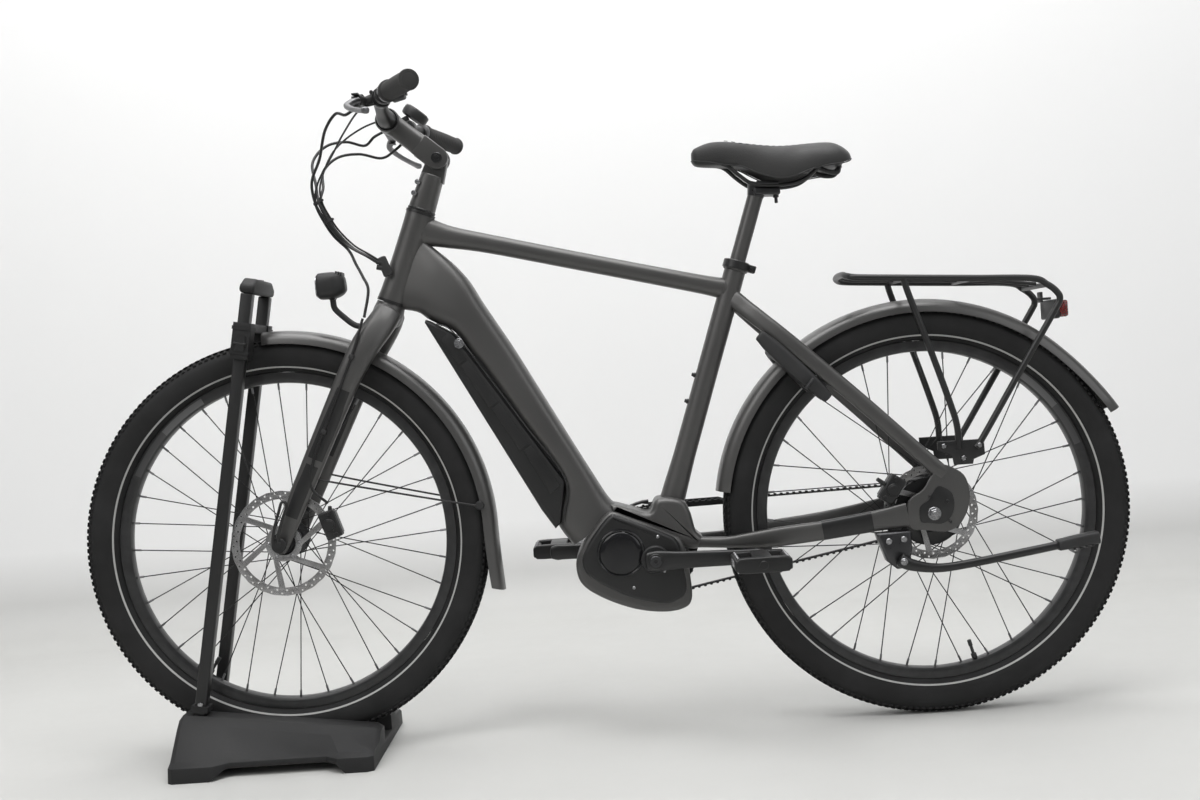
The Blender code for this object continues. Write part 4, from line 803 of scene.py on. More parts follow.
def make_rims_and_spokes(spoke_r):
    rings, wires = ring_tree(), wire_tree()
    hubs = {"front": (FRONT, 0.029, 0.03, 0.0165, (-0.044, 0.0455), 60),
            "rear": (REAR, 0.058, 0.031, 0.05, (-0.044, 0.0385), 60)}
    for word, (centre, flange_r, flange_y, shell_r, ends, lace) in hubs.items():
        half = 0.0125
        loop = [(0.2732, -0.0062), (0.2745, -0.01), (0.2775, -0.012), (0.28, -half),
                (0.2916, -half), (0.292, -0.0118), (0.29, -0.0108), (0.2884, -0.006),
                (0.2884, 0.006), (0.29, 0.0108), (0.292, 0.0118), (0.2916, half),
                (0.28, half), (0.2775, 0.012), (0.2745, 0.01), (0.2732, 0.0062),
                (0.273, 0.0)]
        piece(f"{word}_rim_hoop", turned(loop, centre, count=192), f"rim_{word}",
              f"{word}_wheel", [f"{word}_rim"])
        low, high = ends
        shell = [(0.0064, low), (0.015, low), (0.0165, low + 0.0015),
                 (flange_r * 0.5, low + 0.002),
                 (flange_r * 0.62, -flange_y - 0.003), (flange_r - 0.003, -flange_y - 0.0022),
                 (flange_r, -flange_y - 0.0012), (flange_r, -flange_y + 0.0012),
                 (flange_r - 0.004, -flange_y + 0.0022), (shell_r + 0.002, -flange_y + 0.005),
                 (shell_r, -flange_y + 0.01), (shell_r * 0.97, 0.0), (shell_r, flange_y - 0.01),
                 (shell_r + 0.002, flange_y - 0.005), (flange_r - 0.004, flange_y - 0.0022),
                 (flange_r, flange_y - 0.0012), (flange_r, flange_y + 0.0012),
                 (flange_r - 0.003, flange_y + 0.0022), (flange_r * 0.62, flange_y + 0.003),
                 (flange_r * 0.5, high - 0.002), (0.0165, high - 0.0015), (0.015, high),
                 (0.0064, high)]
        made = [turned(shell, centre, count=72)]
        piece(f"{word}_hub_shell", made, "dark_alloy" if word == "front" else "black_satin",
              f"{word}_wheel", [f"{word}_hub"], slot="alloy")
        runs, nipples = [], []
        for i in range(36):
            side = -1 if i % 2 else 1
            root = 10.0 * i
            lean = lace * (1 if (i // 2) % 2 else -1)
            out = 0.0016 * (1 if (i // 2) % 2 else -1)
            start = polar(centre, flange_r - 0.0035, root, side * (flange_y + out * 1.6))
            bend = polar(centre, flange_r - 0.0005, root + lean * 0.02, side * (flange_y + out))
            tip = polar(centre, 0.2738, root + lean, side * 0.003)
            runs.append([start, bend, tip])
            back = (bend - tip).normalized()
            nipples.append([tip + back * 0.001, tip + back * 0.012])
        made = grown(f"{word}_spokes", wires, edges_mesh("spokes", runs),
                     {"Radius": spoke_r, "Sides": 8}, "spoke")
        settle(made, f"{word}_wheel", "steel")
        made = grown(f"{word}_spoke_nipples", wires, edges_mesh("nipples", nipples),
                     {"Radius": spoke_r * 1.9, "Sides": 8}, "alloy")
        settle(made, f"{word}_wheel", "alloy")
        valve = polar(centre, 0.2725, 235 if word == "front" else 285)
        tip = polar(centre, 0.24, 235 if word == "front" else 285)
        piece(f"{word}_valve", [rod(valve, tip, 0.0028),
                                rod(valve, valve.lerp(tip, 0.25), 0.0048),
                                rod(tip.lerp(valve, 0.35), tip, 0.0036)], "moulded",
              f"{word}_wheel")
    # Six bolts hold each brake disc to its hub.
    for word, centre, radius in (("front", FRONT, 0.026), ("rear", REAR, 0.023)):
        bolt = rod((radius, ROTOR_Y - 0.003, 0), (radius, ROTOR_Y + 0.0005, 0), 0.0034, count=12)
        made = grown(f"{word}_rotor_bolts", rings, None, {"Count": 6, "Centre": tuple(centre)},
                     "steel", [bolt])
        settle(made, f"{word}_wheel", "steel")


def disc_with_holes(name, centre, radius, body, node):
    """A brake disc cut from sheet: two rows of holes, a scalloped bore and slanted arms."""
    sheet = bpy.data.curves.new(name, "CURVE")
    sheet.dimensions, sheet.fill_mode = "2D", "BOTH"
    sheet.extrude, sheet.bevel_depth = 0.0008, 0.0001

    def loop(points):
        spline = sheet.splines.new("POLY")
        spline.points.add(len(points) - 1)
        for knot, (x, y) in zip(spline.points, points):
            knot.co = (x, y, 0, 1)
        spline.use_cyclic_u = True

    def circle(x, y, r, count):
        return [(x + r * math.cos(2 * math.pi * i / count),
                 y + r * math.sin(2 * math.pi * i / count)) for i in range(count)]
    outer = [((radius - 0.0004 + 0.0004 * math.cos(24 * t)) * math.cos(t),
              (radius - 0.0004 + 0.0004 * math.cos(24 * t)) * math.sin(t))
             for t in (2 * math.pi * i / 192 for i in range(192))]
    loop(outer)
    holes = 30
    for i in range(holes):
        for row, (inset, size) in enumerate(((0.004, 0.0017), (0.0095, 0.0019))):
            t = 2 * math.pi * (i + 0.5 * row) / holes
            loop(circle((radius - inset) * math.cos(t), (radius - inset) * math.sin(t), size, 10))
    loop(circle(0, 0, 0.0205, 48))
    inner, core, arms = radius - 0.014, 0.031, 6
    half, gap = math.radians(360 / arms), 0.0052
    for i in range(arms):
        window = []
        low = half * i
        slant = math.radians(24)
        for k in range(9):
            t = low + gap / inner + (half - 2 * gap / inner) * k / 8 + slant
            window.append((inner * math.cos(t), inner * math.sin(t)))
        for k in range(9):
            t = low + half - gap / core - (half - 2 * gap / core) * k / 8
            window.append((core * math.cos(t), core * math.sin(t)))
        loop(window)
    for i in range(6):
        t = math.radians(60 * i)
        loop(circle(0.026 * math.cos(t), 0.026 * math.sin(t), 0.0016, 10))
    flat = bpy.data.objects.new(name, sheet)
    bpy.context.scene.collection.objects.link(flat)
    bpy.context.view_layer.update()
    graph = bpy.context.evaluated_depsgraph_get()
    mesh = bpy.data.meshes.new_from_object(flat.evaluated_get(graph))
    bpy.data.objects.remove(flat)
    mesh.transform(Matrix.Translation(centre + Vector((0, ROTOR_Y, 0)))
                   @ Matrix.Rotation(math.radians(90), 4, "X"))
    shape = bmesh.new()
    shape.from_mesh(mesh)
    bpy.data.meshes.remove(mesh)
    bmesh.ops.remove_doubles(shape, verts=shape.verts, dist=1e-6)
    bmesh.ops.recalc_face_normals(shape, faces=shape.faces)
    piece(name, shape, "disc_steel", body, [node], angle=30)


def caliper(name, centre, degrees, radius, body, node, hose_up):
    """A two-piston caliper with a round piston face, bolts, and its hose fitting."""
    at = polar(centre, radius - 0.002, degrees)
    turn = about_y(-degrees)
    near = at + Vector((0, ROTOR_Y - 0.0085, 0))
    far = at + Vector((0, ROTOR_Y + 0.0075, 0))
    radial = (polar(centre, 1, degrees) - Vector((centre.x, 0, centre.z))).normalized()
    along = radial.cross(Y_AXIS).normalized()
    shapes = [block(near, (0.014, 0.005, 0.024), turn, 0.0028),
              block(far, (0.013, 0.0042, 0.024), turn, 0.0028),
              block(at + radial * 0.0115 + Vector((0, ROTOR_Y, 0)), (0.0035, 0.0095, 0.02), turn,
                    0.0015),
              rod(near + Vector((0, -0.0035, 0)) - radial * 0.002,
                  near + Vector((0, -0.0085, 0)) - radial * 0.002, 0.0112),
              rod(near + Vector((0, -0.008, 0)) - radial * 0.002,
                  near + Vector((0, -0.0094, 0)) - radial * 0.002, 0.0085)]
    for sign in (-1, 1):
        spot = near + along * sign * 0.0185 + radial * 0.004
        shapes.append(rod(spot + Vector((0, -0.0035, 0)), spot + Vector((0, -0.0075, 0)), 0.0042,
                          count=6))
        shapes.append(rod(spot + Y_AXIS * 0.004, spot + Y_AXIS * 0.024, 0.0036, count=16))
    fitting = near + Vector((0, 0.002, 0)) + hose_up * 0.016
    shapes.append(rod(fitting, fitting + hose_up * 0.016, 0.0042, 0.0032))
    piece(name, shapes, "black_satin", body, [node])
    return fitting + hose_up * 0.014


def make_brakes():
    disc_with_holes("front_disc", FRONT, 0.09, "front_wheel", "front_rotor")
    disc_with_holes("rear_disc", REAR, 0.08, "rear_wheel", "rear_rotor")
    caliper("front_caliper_block", FRONT, 18, 0.09, "steering", "front_caliper",
            Vector((0.05, -0.1, 1.0)).normalized())
    caliper("rear_caliper_block", REAR, 146, 0.08, "frame", "rear_caliper",
            Vector((-0.7, -0.1, 0.55)).normalized())
    near, far = FRONT + Vector((0, -0.0745, 0)), FRONT + Vector((0, 0.064, 0))
    loop = [(-0.002, -0.004, 0.0), (0.0, -0.006, 0.014), (0.006, -0.008, 0.034),
            (0.014, -0.0095, 0.054), (0.019, -0.01, 0.066)]
    loop = [tuple(near + Vector(p)) for p in loop]
    back = [tuple(Vector(p) + Vector((-0.0085, 0, 0.0015 * i))) for i, p in enumerate(loop)]
    hoop = loop + [tuple((Vector(loop[-1]) + Vector(back[-1])) / 2 + Vector((0.0015, 0, 0.0045)))]
    hoop += list(reversed(back))
    piece("front_axle_and_lever", [
        rod(near, far, 0.0056), rod(near - Y_AXIS * 0.006, near + Y_AXIS * 0.004, 0.0125),
        rod(near - Y_AXIS * 0.0072, near - Y_AXIS * 0.0055, 0.006),
        rod(far - Y_AXIS * 0.0035, far, 0.0085, count=6), pipe(hoop, 0.0026, 10, 4)],
        "black_satin", "front_axle", ["front_axle"])
    ends = [rod(REAR - Y_AXIS * 0.082, REAR + Y_AXIS * 0.082, 0.0055)]
    for side in (-1, 1):
        nut = REAR + Y_AXIS * side * 0.072
        ends += [rod(nut, nut + Y_AXIS * side * 0.0075, 0.0092, count=6),
                 rod(nut - Y_AXIS * side * 0.0006, nut + Y_AXIS * side * 0.0014, 0.0112)]
    piece("rear_axle_and_nuts", ends, "steel", "frame", ["rear_axle"])


# Stand ------------------------------------------------------------------------------
def make_stand():
    softened("stand_base", "stand_plastic", "stand", 0.003, 3)
    ribs = []
    for side in (-1, 1):
        cuff = POST_FOOT + POST_AXIS * 0.008 + Vector((0, side * POST_Y, 0))
        wide = (POST_HALF + 0.0045) * math.sqrt(2)
        ribs.append(tube([(*cuff, wide, wide),
                          (*(cuff + POST_AXIS * 0.01), wide * 0.97, wide * 0.97)],
                         4, per=1))
    piece("stand_base_ribs", ribs, "stand_plastic", "stand")
    for side, word in SIDES:
        foot = POST_FOOT + Vector((0, side * POST_Y, 0))
        softened(f"stand_post_{word}", "stand_paint", "stand", 0.0022, 3)
        spot = foot + POST_AXIS * 0.02 + Y_AXIS * side * POST_HALF
        piece(f"stand_post_bolt_{word}", rod(spot, spot + Y_AXIS * side * 0.003, 0.0048, count=6),
              "steel", "stand")
    crown = POST_FOOT + POST_AXIS * (POST_LENGTH + 0.0003)
    softened("stand_top_cap", "stand_plastic", "stand", 0.006, 4, extra=[
        rod(crown + POST_AXIS * 0.0245 + Y_AXIS * 0.02,
            crown + POST_AXIS * 0.0275 + Y_AXIS * 0.02,
            0.0045)])
    wide = POST_HALF + 0.005
    rest = POST_FOOT + POST_AXIS * WHEEL_REST_UP
    clips = []
    for side, word in SIDES:
        spot = rest + Vector((0, side * (POST_Y + wide), 0)) + POST_AXIS * 0.006
        clips += [tube([(*(spot - POST_AXIS * 0.012), 0.0025, 0.0085),
                        (*(spot + POST_AXIS * 0.014), 0.0025, 0.0085)], 12, 5, per=1),
                  rod(spot + POST_NORMAL * -0.011, spot + POST_NORMAL * 0.011, 0.0032, count=12)]
        band = rest + Vector((0, side * POST_Y, 0))
        reach = (wide + 0.0012) * math.sqrt(2)
        clips.append(tube([(*(band + POST_AXIS * 0.03), reach, reach),
                           (*(band + POST_AXIS * 0.036), reach, reach)], 4, per=1))
        clips.append(tube([(*(band - POST_AXIS * 0.012), reach, reach),
                           (*(band - POST_AXIS * 0.006), reach, reach)], 4, per=1))
    softened("wheel_rest", "stand_plastic", "wheel_rest", 0.0028, 3, extra=clips)


# Frame ------------------------------------------------------------------------------
def make_frame_tubes():
    pipe_wall = [(0.0168, -HEAD_HALF), (HEAD_R + 0.0012, -HEAD_HALF), (HEAD_R + 0.0016, -0.078),
                 (HEAD_R + 0.0004, -0.06), (HEAD_R - 0.0006, 0.0), (HEAD_R + 0.0002, 0.062),
                 (HEAD_R + 0.001, 0.079), (HEAD_R + 0.0006, HEAD_HALF), (0.0168, HEAD_HALF)]
    piece("head_tube_shell", turned(pipe_wall, HEAD_MID, HEAD_AXIS, 64), "frame_paint", "frame",
          ["head_tube"])
    cups = []
    for low, high in ((-HEAD_HALF + 0.0004, -HEAD_HALF + 0.005),
                      (HEAD_HALF - 0.005, HEAD_HALF - 0.0004)):
        cups.append(turned([(0.02, low), (HEAD_R + 0.0019, low), (HEAD_R + 0.0019, high),
                            (0.02, high)], HEAD_MID, HEAD_AXIS, 48))
    piece("headset_cups", cups, "black_satin", "frame")
    piece("top_tube_shell", tube([
        (-0.296, 0, 0.892, 0.018, 0.027), (-0.27, 0, 0.885, 0.0172, 0.0235),
        (-0.235, 0, 0.8745, 0.0166, 0.019), (-0.17, 0, 0.859, 0.016, 0.0163),
        (-0.03, 0, 0.822, 0.0158, 0.0157), (0.1, 0, 0.788, 0.0157, 0.0157),
        (0.2, 0, 0.762, 0.0158, 0.0165), (0.242, 0, 0.751, 0.0166, 0.02)],
        36, 2.3), "frame_paint", "frame", ["top_tube"])
    rows = [  # upper edge x and z, lower edge x and z, half width
        (-0.29, 0.88, -0.345, 0.76, 0.015), (-0.256, 0.85, -0.302, 0.75, 0.027),
        (-0.233, 0.828, -0.284, 0.737, 0.032), (-0.208, 0.797, -0.261, 0.7235, 0.0362),
        (-0.188, 0.76, -0.238, 0.71, 0.0378), (-0.16, 0.712, -0.212, 0.672, 0.038),
        (-0.138, 0.674, -0.188, 0.637, 0.038), (-0.0898, 0.584, -0.136, 0.552, 0.038),
        (-0.023, 0.46, -0.07, 0.443, 0.038), (0.012, 0.401, -0.085, 0.376, 0.038),
        (0.038, 0.392, -0.06, 0.33, 0.038)]
    rings = []
    for ux, uz, lx, lz, wide in through(rows, 4):
        top, low = Vector((ux, 0, uz)), Vector((lx, 0, lz))
        rings.append(ring((top + low) / 2, Y_AXIS, (top - low).normalized(), wide,
                          (top - low).length / 2, 48, 3.2))
    shell = loft(rings)
    piece("down_tube_shell", shell, "frame_paint", "frame", ["down_tube"], angle=50)
    bracket = [(0.01, 0.396), (0.042, 0.389), (0.074, 0.38), (0.09, 0.402),
               (0.13, 0.398), (0.144, 0.378), (0.152, 0.344), (0.164, 0.328),
               (0.148, 0.312), (0.1, 0.33), (0.03, 0.36)]
    piece("bottom_bracket_shell", pillow(rounded(bracket), -0.04, 0.036, 0.011),
          "frame_paint", "frame", angle=50)
    wall = [(0.0139, -SEAT_LENGTH), (0.0222, -SEAT_LENGTH), (0.0208, -SEAT_LENGTH * 0.9),
            (SEAT_TUBE_R + 0.0004, -SEAT_LENGTH * 0.78), (SEAT_TUBE_R, -0.2),
            (SEAT_TUBE_R, -0.014),
            (SEAT_TUBE_R + 0.0026, -0.0125), (SEAT_TUBE_R + 0.003, -0.011),
            (SEAT_TUBE_R + 0.003, 0.003), (SEAT_TUBE_R + 0.0022, 0.004), (0.0139, 0.004)]
    piece("seat_tube_shell", turned(wall, SEAT_TOP, SEAT_AXIS, 64), "frame_paint", "frame",
          ["seat_tube"])
    clamp = [turned([(0.0188, -0.0105), (0.0228, -0.0105), (0.0234, -0.0098), (0.0234, 0.0022),
                     (0.0228, 0.003), (0.0188, 0.003)], SEAT_TOP, SEAT_AXIS, 48)]
    ear = SEAT_TOP + SEAT_AXIS * -0.004 + Vector((0.025, 0, -0.008))
    clamp += [block(ear + Y_AXIS * s * 0.006, (0.0075, 0.0032, 0.0062), about_y(19), 0.0018)
              for s in (-1, 1)]
    clamp.append(rod(ear - Y_AXIS * 0.013, ear + Y_AXIS * 0.013, 0.0034, count=12))
    piece("seat_clamp", clamp, "black_satin", "frame")
    bosses = []
    for along in (0.205, 0.252):
        spot = SEAT_TOP - SEAT_AXIS * along
        out = Vector((-SEAT_AXIS.z, 0, SEAT_AXIS.x))
        bosses += [rod(spot + out * 0.015, spot + out * 0.0218, 0.0048, 0.0042),
                   rod(spot + out * 0.021, spot + out * 0.0248, 0.0034, count=8)]
    piece("bottle_bolts", bosses, "black_satin", "frame")
    collars = []
    for at, wide, high, power in (
            ((-0.284, 0, 0.8875), 0.0186, 0.0245, 2.2),
            ((0.234, 0, 0.7535), 0.0172, 0.0196, 2.2)):
        spot = Vector(at)
        way = Vector((0.965, 0, -0.26))
        collars.append(tube([(*(spot - way * 0.006), wide * 1.06, high * 1.06),
                             (*(spot + way * 0.002), wide, high),
                             (*(spot + way * 0.01), wide * 0.93, high * 0.86)], 36, power, per=6))
    piece("welded_collars", collars, "frame_paint", "frame")
    port = Vector((-0.348, -0.0285, 0.83))
    piece("cable_port", tube([(*(port + Vector((-0.005, 0, 0.014))), 0.004, 0.008),
                              (*(port + Vector((0.005, 0, -0.014))), 0.0035, 0.0085)],
                             16, 3, per=1, cap=0.003), "moulded", "frame")
    for side, word in SIDES:
        def at(x, y, z, a, b):
            return (x, side * y, z, a, b)
        stay_y = STAY_Y
        piece(f"chain_stay_shell_{word}", [tube([
            at(0.143, 0.029, 0.3235, 0.0085, 0.0092), at(0.165, 0.0315, 0.3225, 0.008, 0.0092),
            at(0.203, 0.0425, 0.3215, 0.0085, 0.0098), at(0.238, 0.0462, 0.3225, 0.009, 0.013),
            at(0.29, 0.053, 0.326, 0.009, 0.0163), at(0.38, 0.061, 0.334, 0.0085, 0.0162),
            at(0.45, 0.066, 0.343, 0.007, 0.0172), at(0.5072, stay_y, 0.35, 0.0055, 0.0208)],
            28, 2.7)], "frame_paint", "frame", [f"chain_stay_{word}"])
        plate = [(0.5095, 0.329), (0.5095, 0.372), (0.535, 0.3905), (0.55, 0.411),
                 (0.564, 0.429), (0.58, 0.429), (0.605, 0.412), (0.613, 0.385),
                 (0.611, 0.362), (0.603, 0.342), (0.59, 0.326), (0.568, 0.318),
                 (0.535, 0.323)]
        low, high = sorted((side * 0.063, side * 0.071))
        piece(f"seat_stay_shell_{word}", [tube([
            at(0.238, 0.004, 0.742, 0.0095, 0.015), at(0.248, 0.01, 0.732, 0.0095, 0.015),
            at(0.26, 0.016, 0.72, 0.0095, 0.0148),
            at(0.285, 0.03, 0.696, 0.0085, 0.0145), at(0.336, 0.047, 0.648, 0.008, 0.014),
            at(0.443, 0.06, 0.545, 0.0075, 0.013), at(0.54, 0.066, 0.447, 0.0066, 0.0128),
            at(0.572, stay_y, 0.415, 0.0048, 0.013)], 28, 2.6, cap=0.003),
            slab(rounded(plate, 4), low, high, 0.0016, 3)], "frame_paint", "frame",
            [f"seat_stay_{word}"])
        low, high = sorted((side * 0.0706, side * 0.0722))
        face = rounded([(REAR.x + (x - REAR.x) * 0.56, REAR.z + (z - REAR.z) * 0.56)
                        for x, z in plate], 4)
        piece(f"dropout_plate_{word}", [slab(face, low, high, 0.0006, 2)]
              + [rod(polar(REAR, 0.03, a, side * 0.07), polar(REAR, 0.03, a, side * 0.0745),
                     0.003, count=6) for a in (40, 100, 330)], "black_satin", "frame")
    wrap = tube([(0.364, -0.0601, 0.3326, 0.009, 0.0166), (0.41, -0.0634, 0.3381, 0.0082, 0.017),
                 (0.448, -0.066, 0.3428, 0.0076, 0.0176)], 28, 2.7)
    piece("chain_stay_guard", wrap, "fork_panel", "frame")


def make_motor_and_battery():
    unit = [(-0.05, 0.32), (-0.02, 0.362), (0.008, 0.386), (0.042, 0.374),
            (0.108, 0.343), (0.129, 0.326), (0.137, 0.27), (0.137, 0.228),
            (0.12, 0.213), (0.084, 0.21), (0.036, 0.219), (-0.015, 0.241),
            (-0.047, 0.265), (-0.056, 0.293)]
    piece("motor_unit_shell", pillow(rounded(unit), -0.052, 0.0385, 0.009), "frame_paint",
          "frame", ["motor_unit"])
    cover = [(-0.043, 0.318), (-0.018, 0.356), (0.007, 0.382), (0.025, 0.379),
             (0.098, 0.346), (0.119, 0.329), (0.126, 0.29), (0.129, 0.248),
             (0.112, 0.231), (0.086, 0.227), (0.03, 0.242), (-0.027, 0.276),
             (-0.043, 0.295)]
    piece("motor_cover_shell", pillow(rounded(cover), -0.068, -0.0515, 0.0075), "battery_skin",
          "frame", ["motor_cover"])
    cap = Vector((0.022, -0.068, 0.318))
    parts = [turned([(0.0004, 0.0006), (0.0004, -0.0042), (0.027, -0.0046), (0.033, -0.004),
                     (0.0352, -0.0022), (0.036, 0.001)], cap, Y_AXIS, 72),
             turned([(0.0362, 0.001), (0.037, -0.0018), (0.0388, -0.0026), (0.0404, -0.0018),
                     (0.0408, 0.001)], cap, Y_AXIS, 72)]
    piece("motor_round_cap", parts, "glass_black", "frame")
    spider = [turned([(0.0125, -0.0012), (0.0125, -0.0045), (0.022, -0.0052), (0.024, -0.003),
                      (0.0245, 0.0006)], Vector((CRANK.x, -0.068, CRANK.z)), Y_AXIS, 56)]
    piece("crank_seal", spider, "moulded", "frame")
    tree = ring_tree()
    screw = rod((0.05, -0.069, 0), (0.05, -0.0655, 0), 0.003, count=8)
    made = grown("motor_cover_screws", tree, None,
                 {"Count": 5, "Centre": (CRANK.x - 0.03, 0, CRANK.z + 0.004), "First angle": 0.5},
                 "steel", [screw])
    settle(made, "frame", "steel")
    softened("battery", "battery_skin", "battery", 0.004, 4, angle=24)
    panels = []
    along = Vector((0.124, 0, -0.192)).normalized()
    inward = Vector((-along.z, 0, along.x))
    start = Vector((-0.262, 0, 0.706))
    for i, (low, high) in enumerate(((0.006, 0.06), (0.064, 0.15), (0.154, 0.24),
                                     (0.244, 0.33))):
        a, b = start + along * low, start + along * high
        outline = [a + inward * 0.014, b + inward * 0.012, b - inward * (0.004 + 0.002 * i),
                   a - inward * 0.003]
        for side in (-1, 1):
            panels.append(slab([(p.x, p.z) for p in outline],
                               *sorted((side * 0.0362, side * 0.0378)), 0.0006, 2))
    piece("battery_panels", panels, "battery_skin", "battery")
    lock = Vector((-0.23, -0.0372, 0.69))
    piece("battery_lock", [rod(lock, lock - Y_AXIS * 0.002, 0.0085),
                           rod(lock - Y_AXIS * 0.0018, lock - Y_AXIS * 0.0028, 0.005)], "steel",
          "battery")
    seam = [(-0.266, 0, 0.7265), (-0.2385, 0, 0.71), (-0.1884, 0, 0.637), (-0.126, 0, 0.5416),
            (-0.0646, 0, 0.4452), (-0.074, 0, 0.372)]
    bead = [pipe([(x, side * 0.0368, z) for x, _, z in seam], 0.0012, 8) for side in (-1, 1)]
    piece("battery_seam", bead, "moulded", "frame")


def make_fork():
    steerer = [turned([(0.01, -0.096), (0.0143, -0.096), (0.0143, 0.128), (0.01, 0.128)],
                      HEAD_MID, HEAD_AXIS, 32)]
    low = -HEAD_HALF
    crown_rows = ((low - 0.0008, 0.0246, 0.0246, 2.0), (low - 0.006, 0.0252, 0.0262, 2.0),
                  (low - 0.014, 0.0262, 0.031, 2.2), (low - 0.024, 0.0268, 0.0345, 2.4),
                  (low - 0.034, 0.0236, 0.033, 2.5), (low - 0.04, 0.017, 0.027, 2.5))
    steerer.append(loft([ring(head_point(h), HEAD_NORMAL, Y_AXIS, a, b, 40, p)
                         for h, a, b, p in crown_rows]))
    for side, word in SIDES:
        y = side * 0.057
        steerer.append(tube([
            (-0.35, side * 0.018, 0.75, 0.0175, 0.0235),
            (-0.362, side * 0.034, 0.731, 0.0172, 0.0245),
            (-0.384, side * 0.051, 0.701, 0.015, 0.0245), (-0.406, y, 0.665, 0.0132, 0.0222),
            (-0.43, y, 0.621, 0.0126, 0.0205), (-0.502, y, 0.476, 0.0106, 0.0183),
            (-0.53, y, 0.417, 0.0084, 0.016), (-0.547, y, 0.38, 0.0066, 0.0142),
            (-0.5545, y, 0.362, 0.0062, 0.012)], 32, 2.6, cap=0.009))
    piece("fork_shell", steerer, "frame_paint", "steering", ["fork"], angle=50)
    for side, word in SIDES:
        y = side * 0.0574
        panel = tube([(-0.427, y, 0.625, 0.0131, 0.017), (-0.456, y, 0.567, 0.0124, 0.0176),
                      (-0.484, y, 0.511, 0.0117, 0.0168)], 32, 2.6)
        piece(f"fork_panel_{word}", panel, "fork_panel", "steering")
        lower = tube([(-0.489, y, 0.501, 0.0114, 0.0158), (-0.51, y, 0.459, 0.0106, 0.0154),
                      (-0.531, y, 0.415, 0.0088, 0.0138)], 32, 2.6)
        piece(f"fork_lower_panel_{word}", lower, "black_satin", "steering")
    guide = [pipe([(-0.386, -0.064, 0.742), (-0.406, -0.07, 0.685), (-0.442, -0.0705, 0.605),
                   (-0.484, -0.069, 0.512), (-0.493, -0.064, 0.464), (-0.469, -0.056, 0.434)],
                  0.0024, 12)]
    piece("fork_brake_hose", guide, "cable", "steering")
    clips = [block((-0.4085, -0.0702, 0.679), (0.0042, 0.0036, 0.004), about_y(26), 0.001),
             block((-0.464, -0.0698, 0.556), (0.0042, 0.0036, 0.004), about_y(26), 0.001)]
    piece("fork_hose_clips", clips, "moulded", "steering")


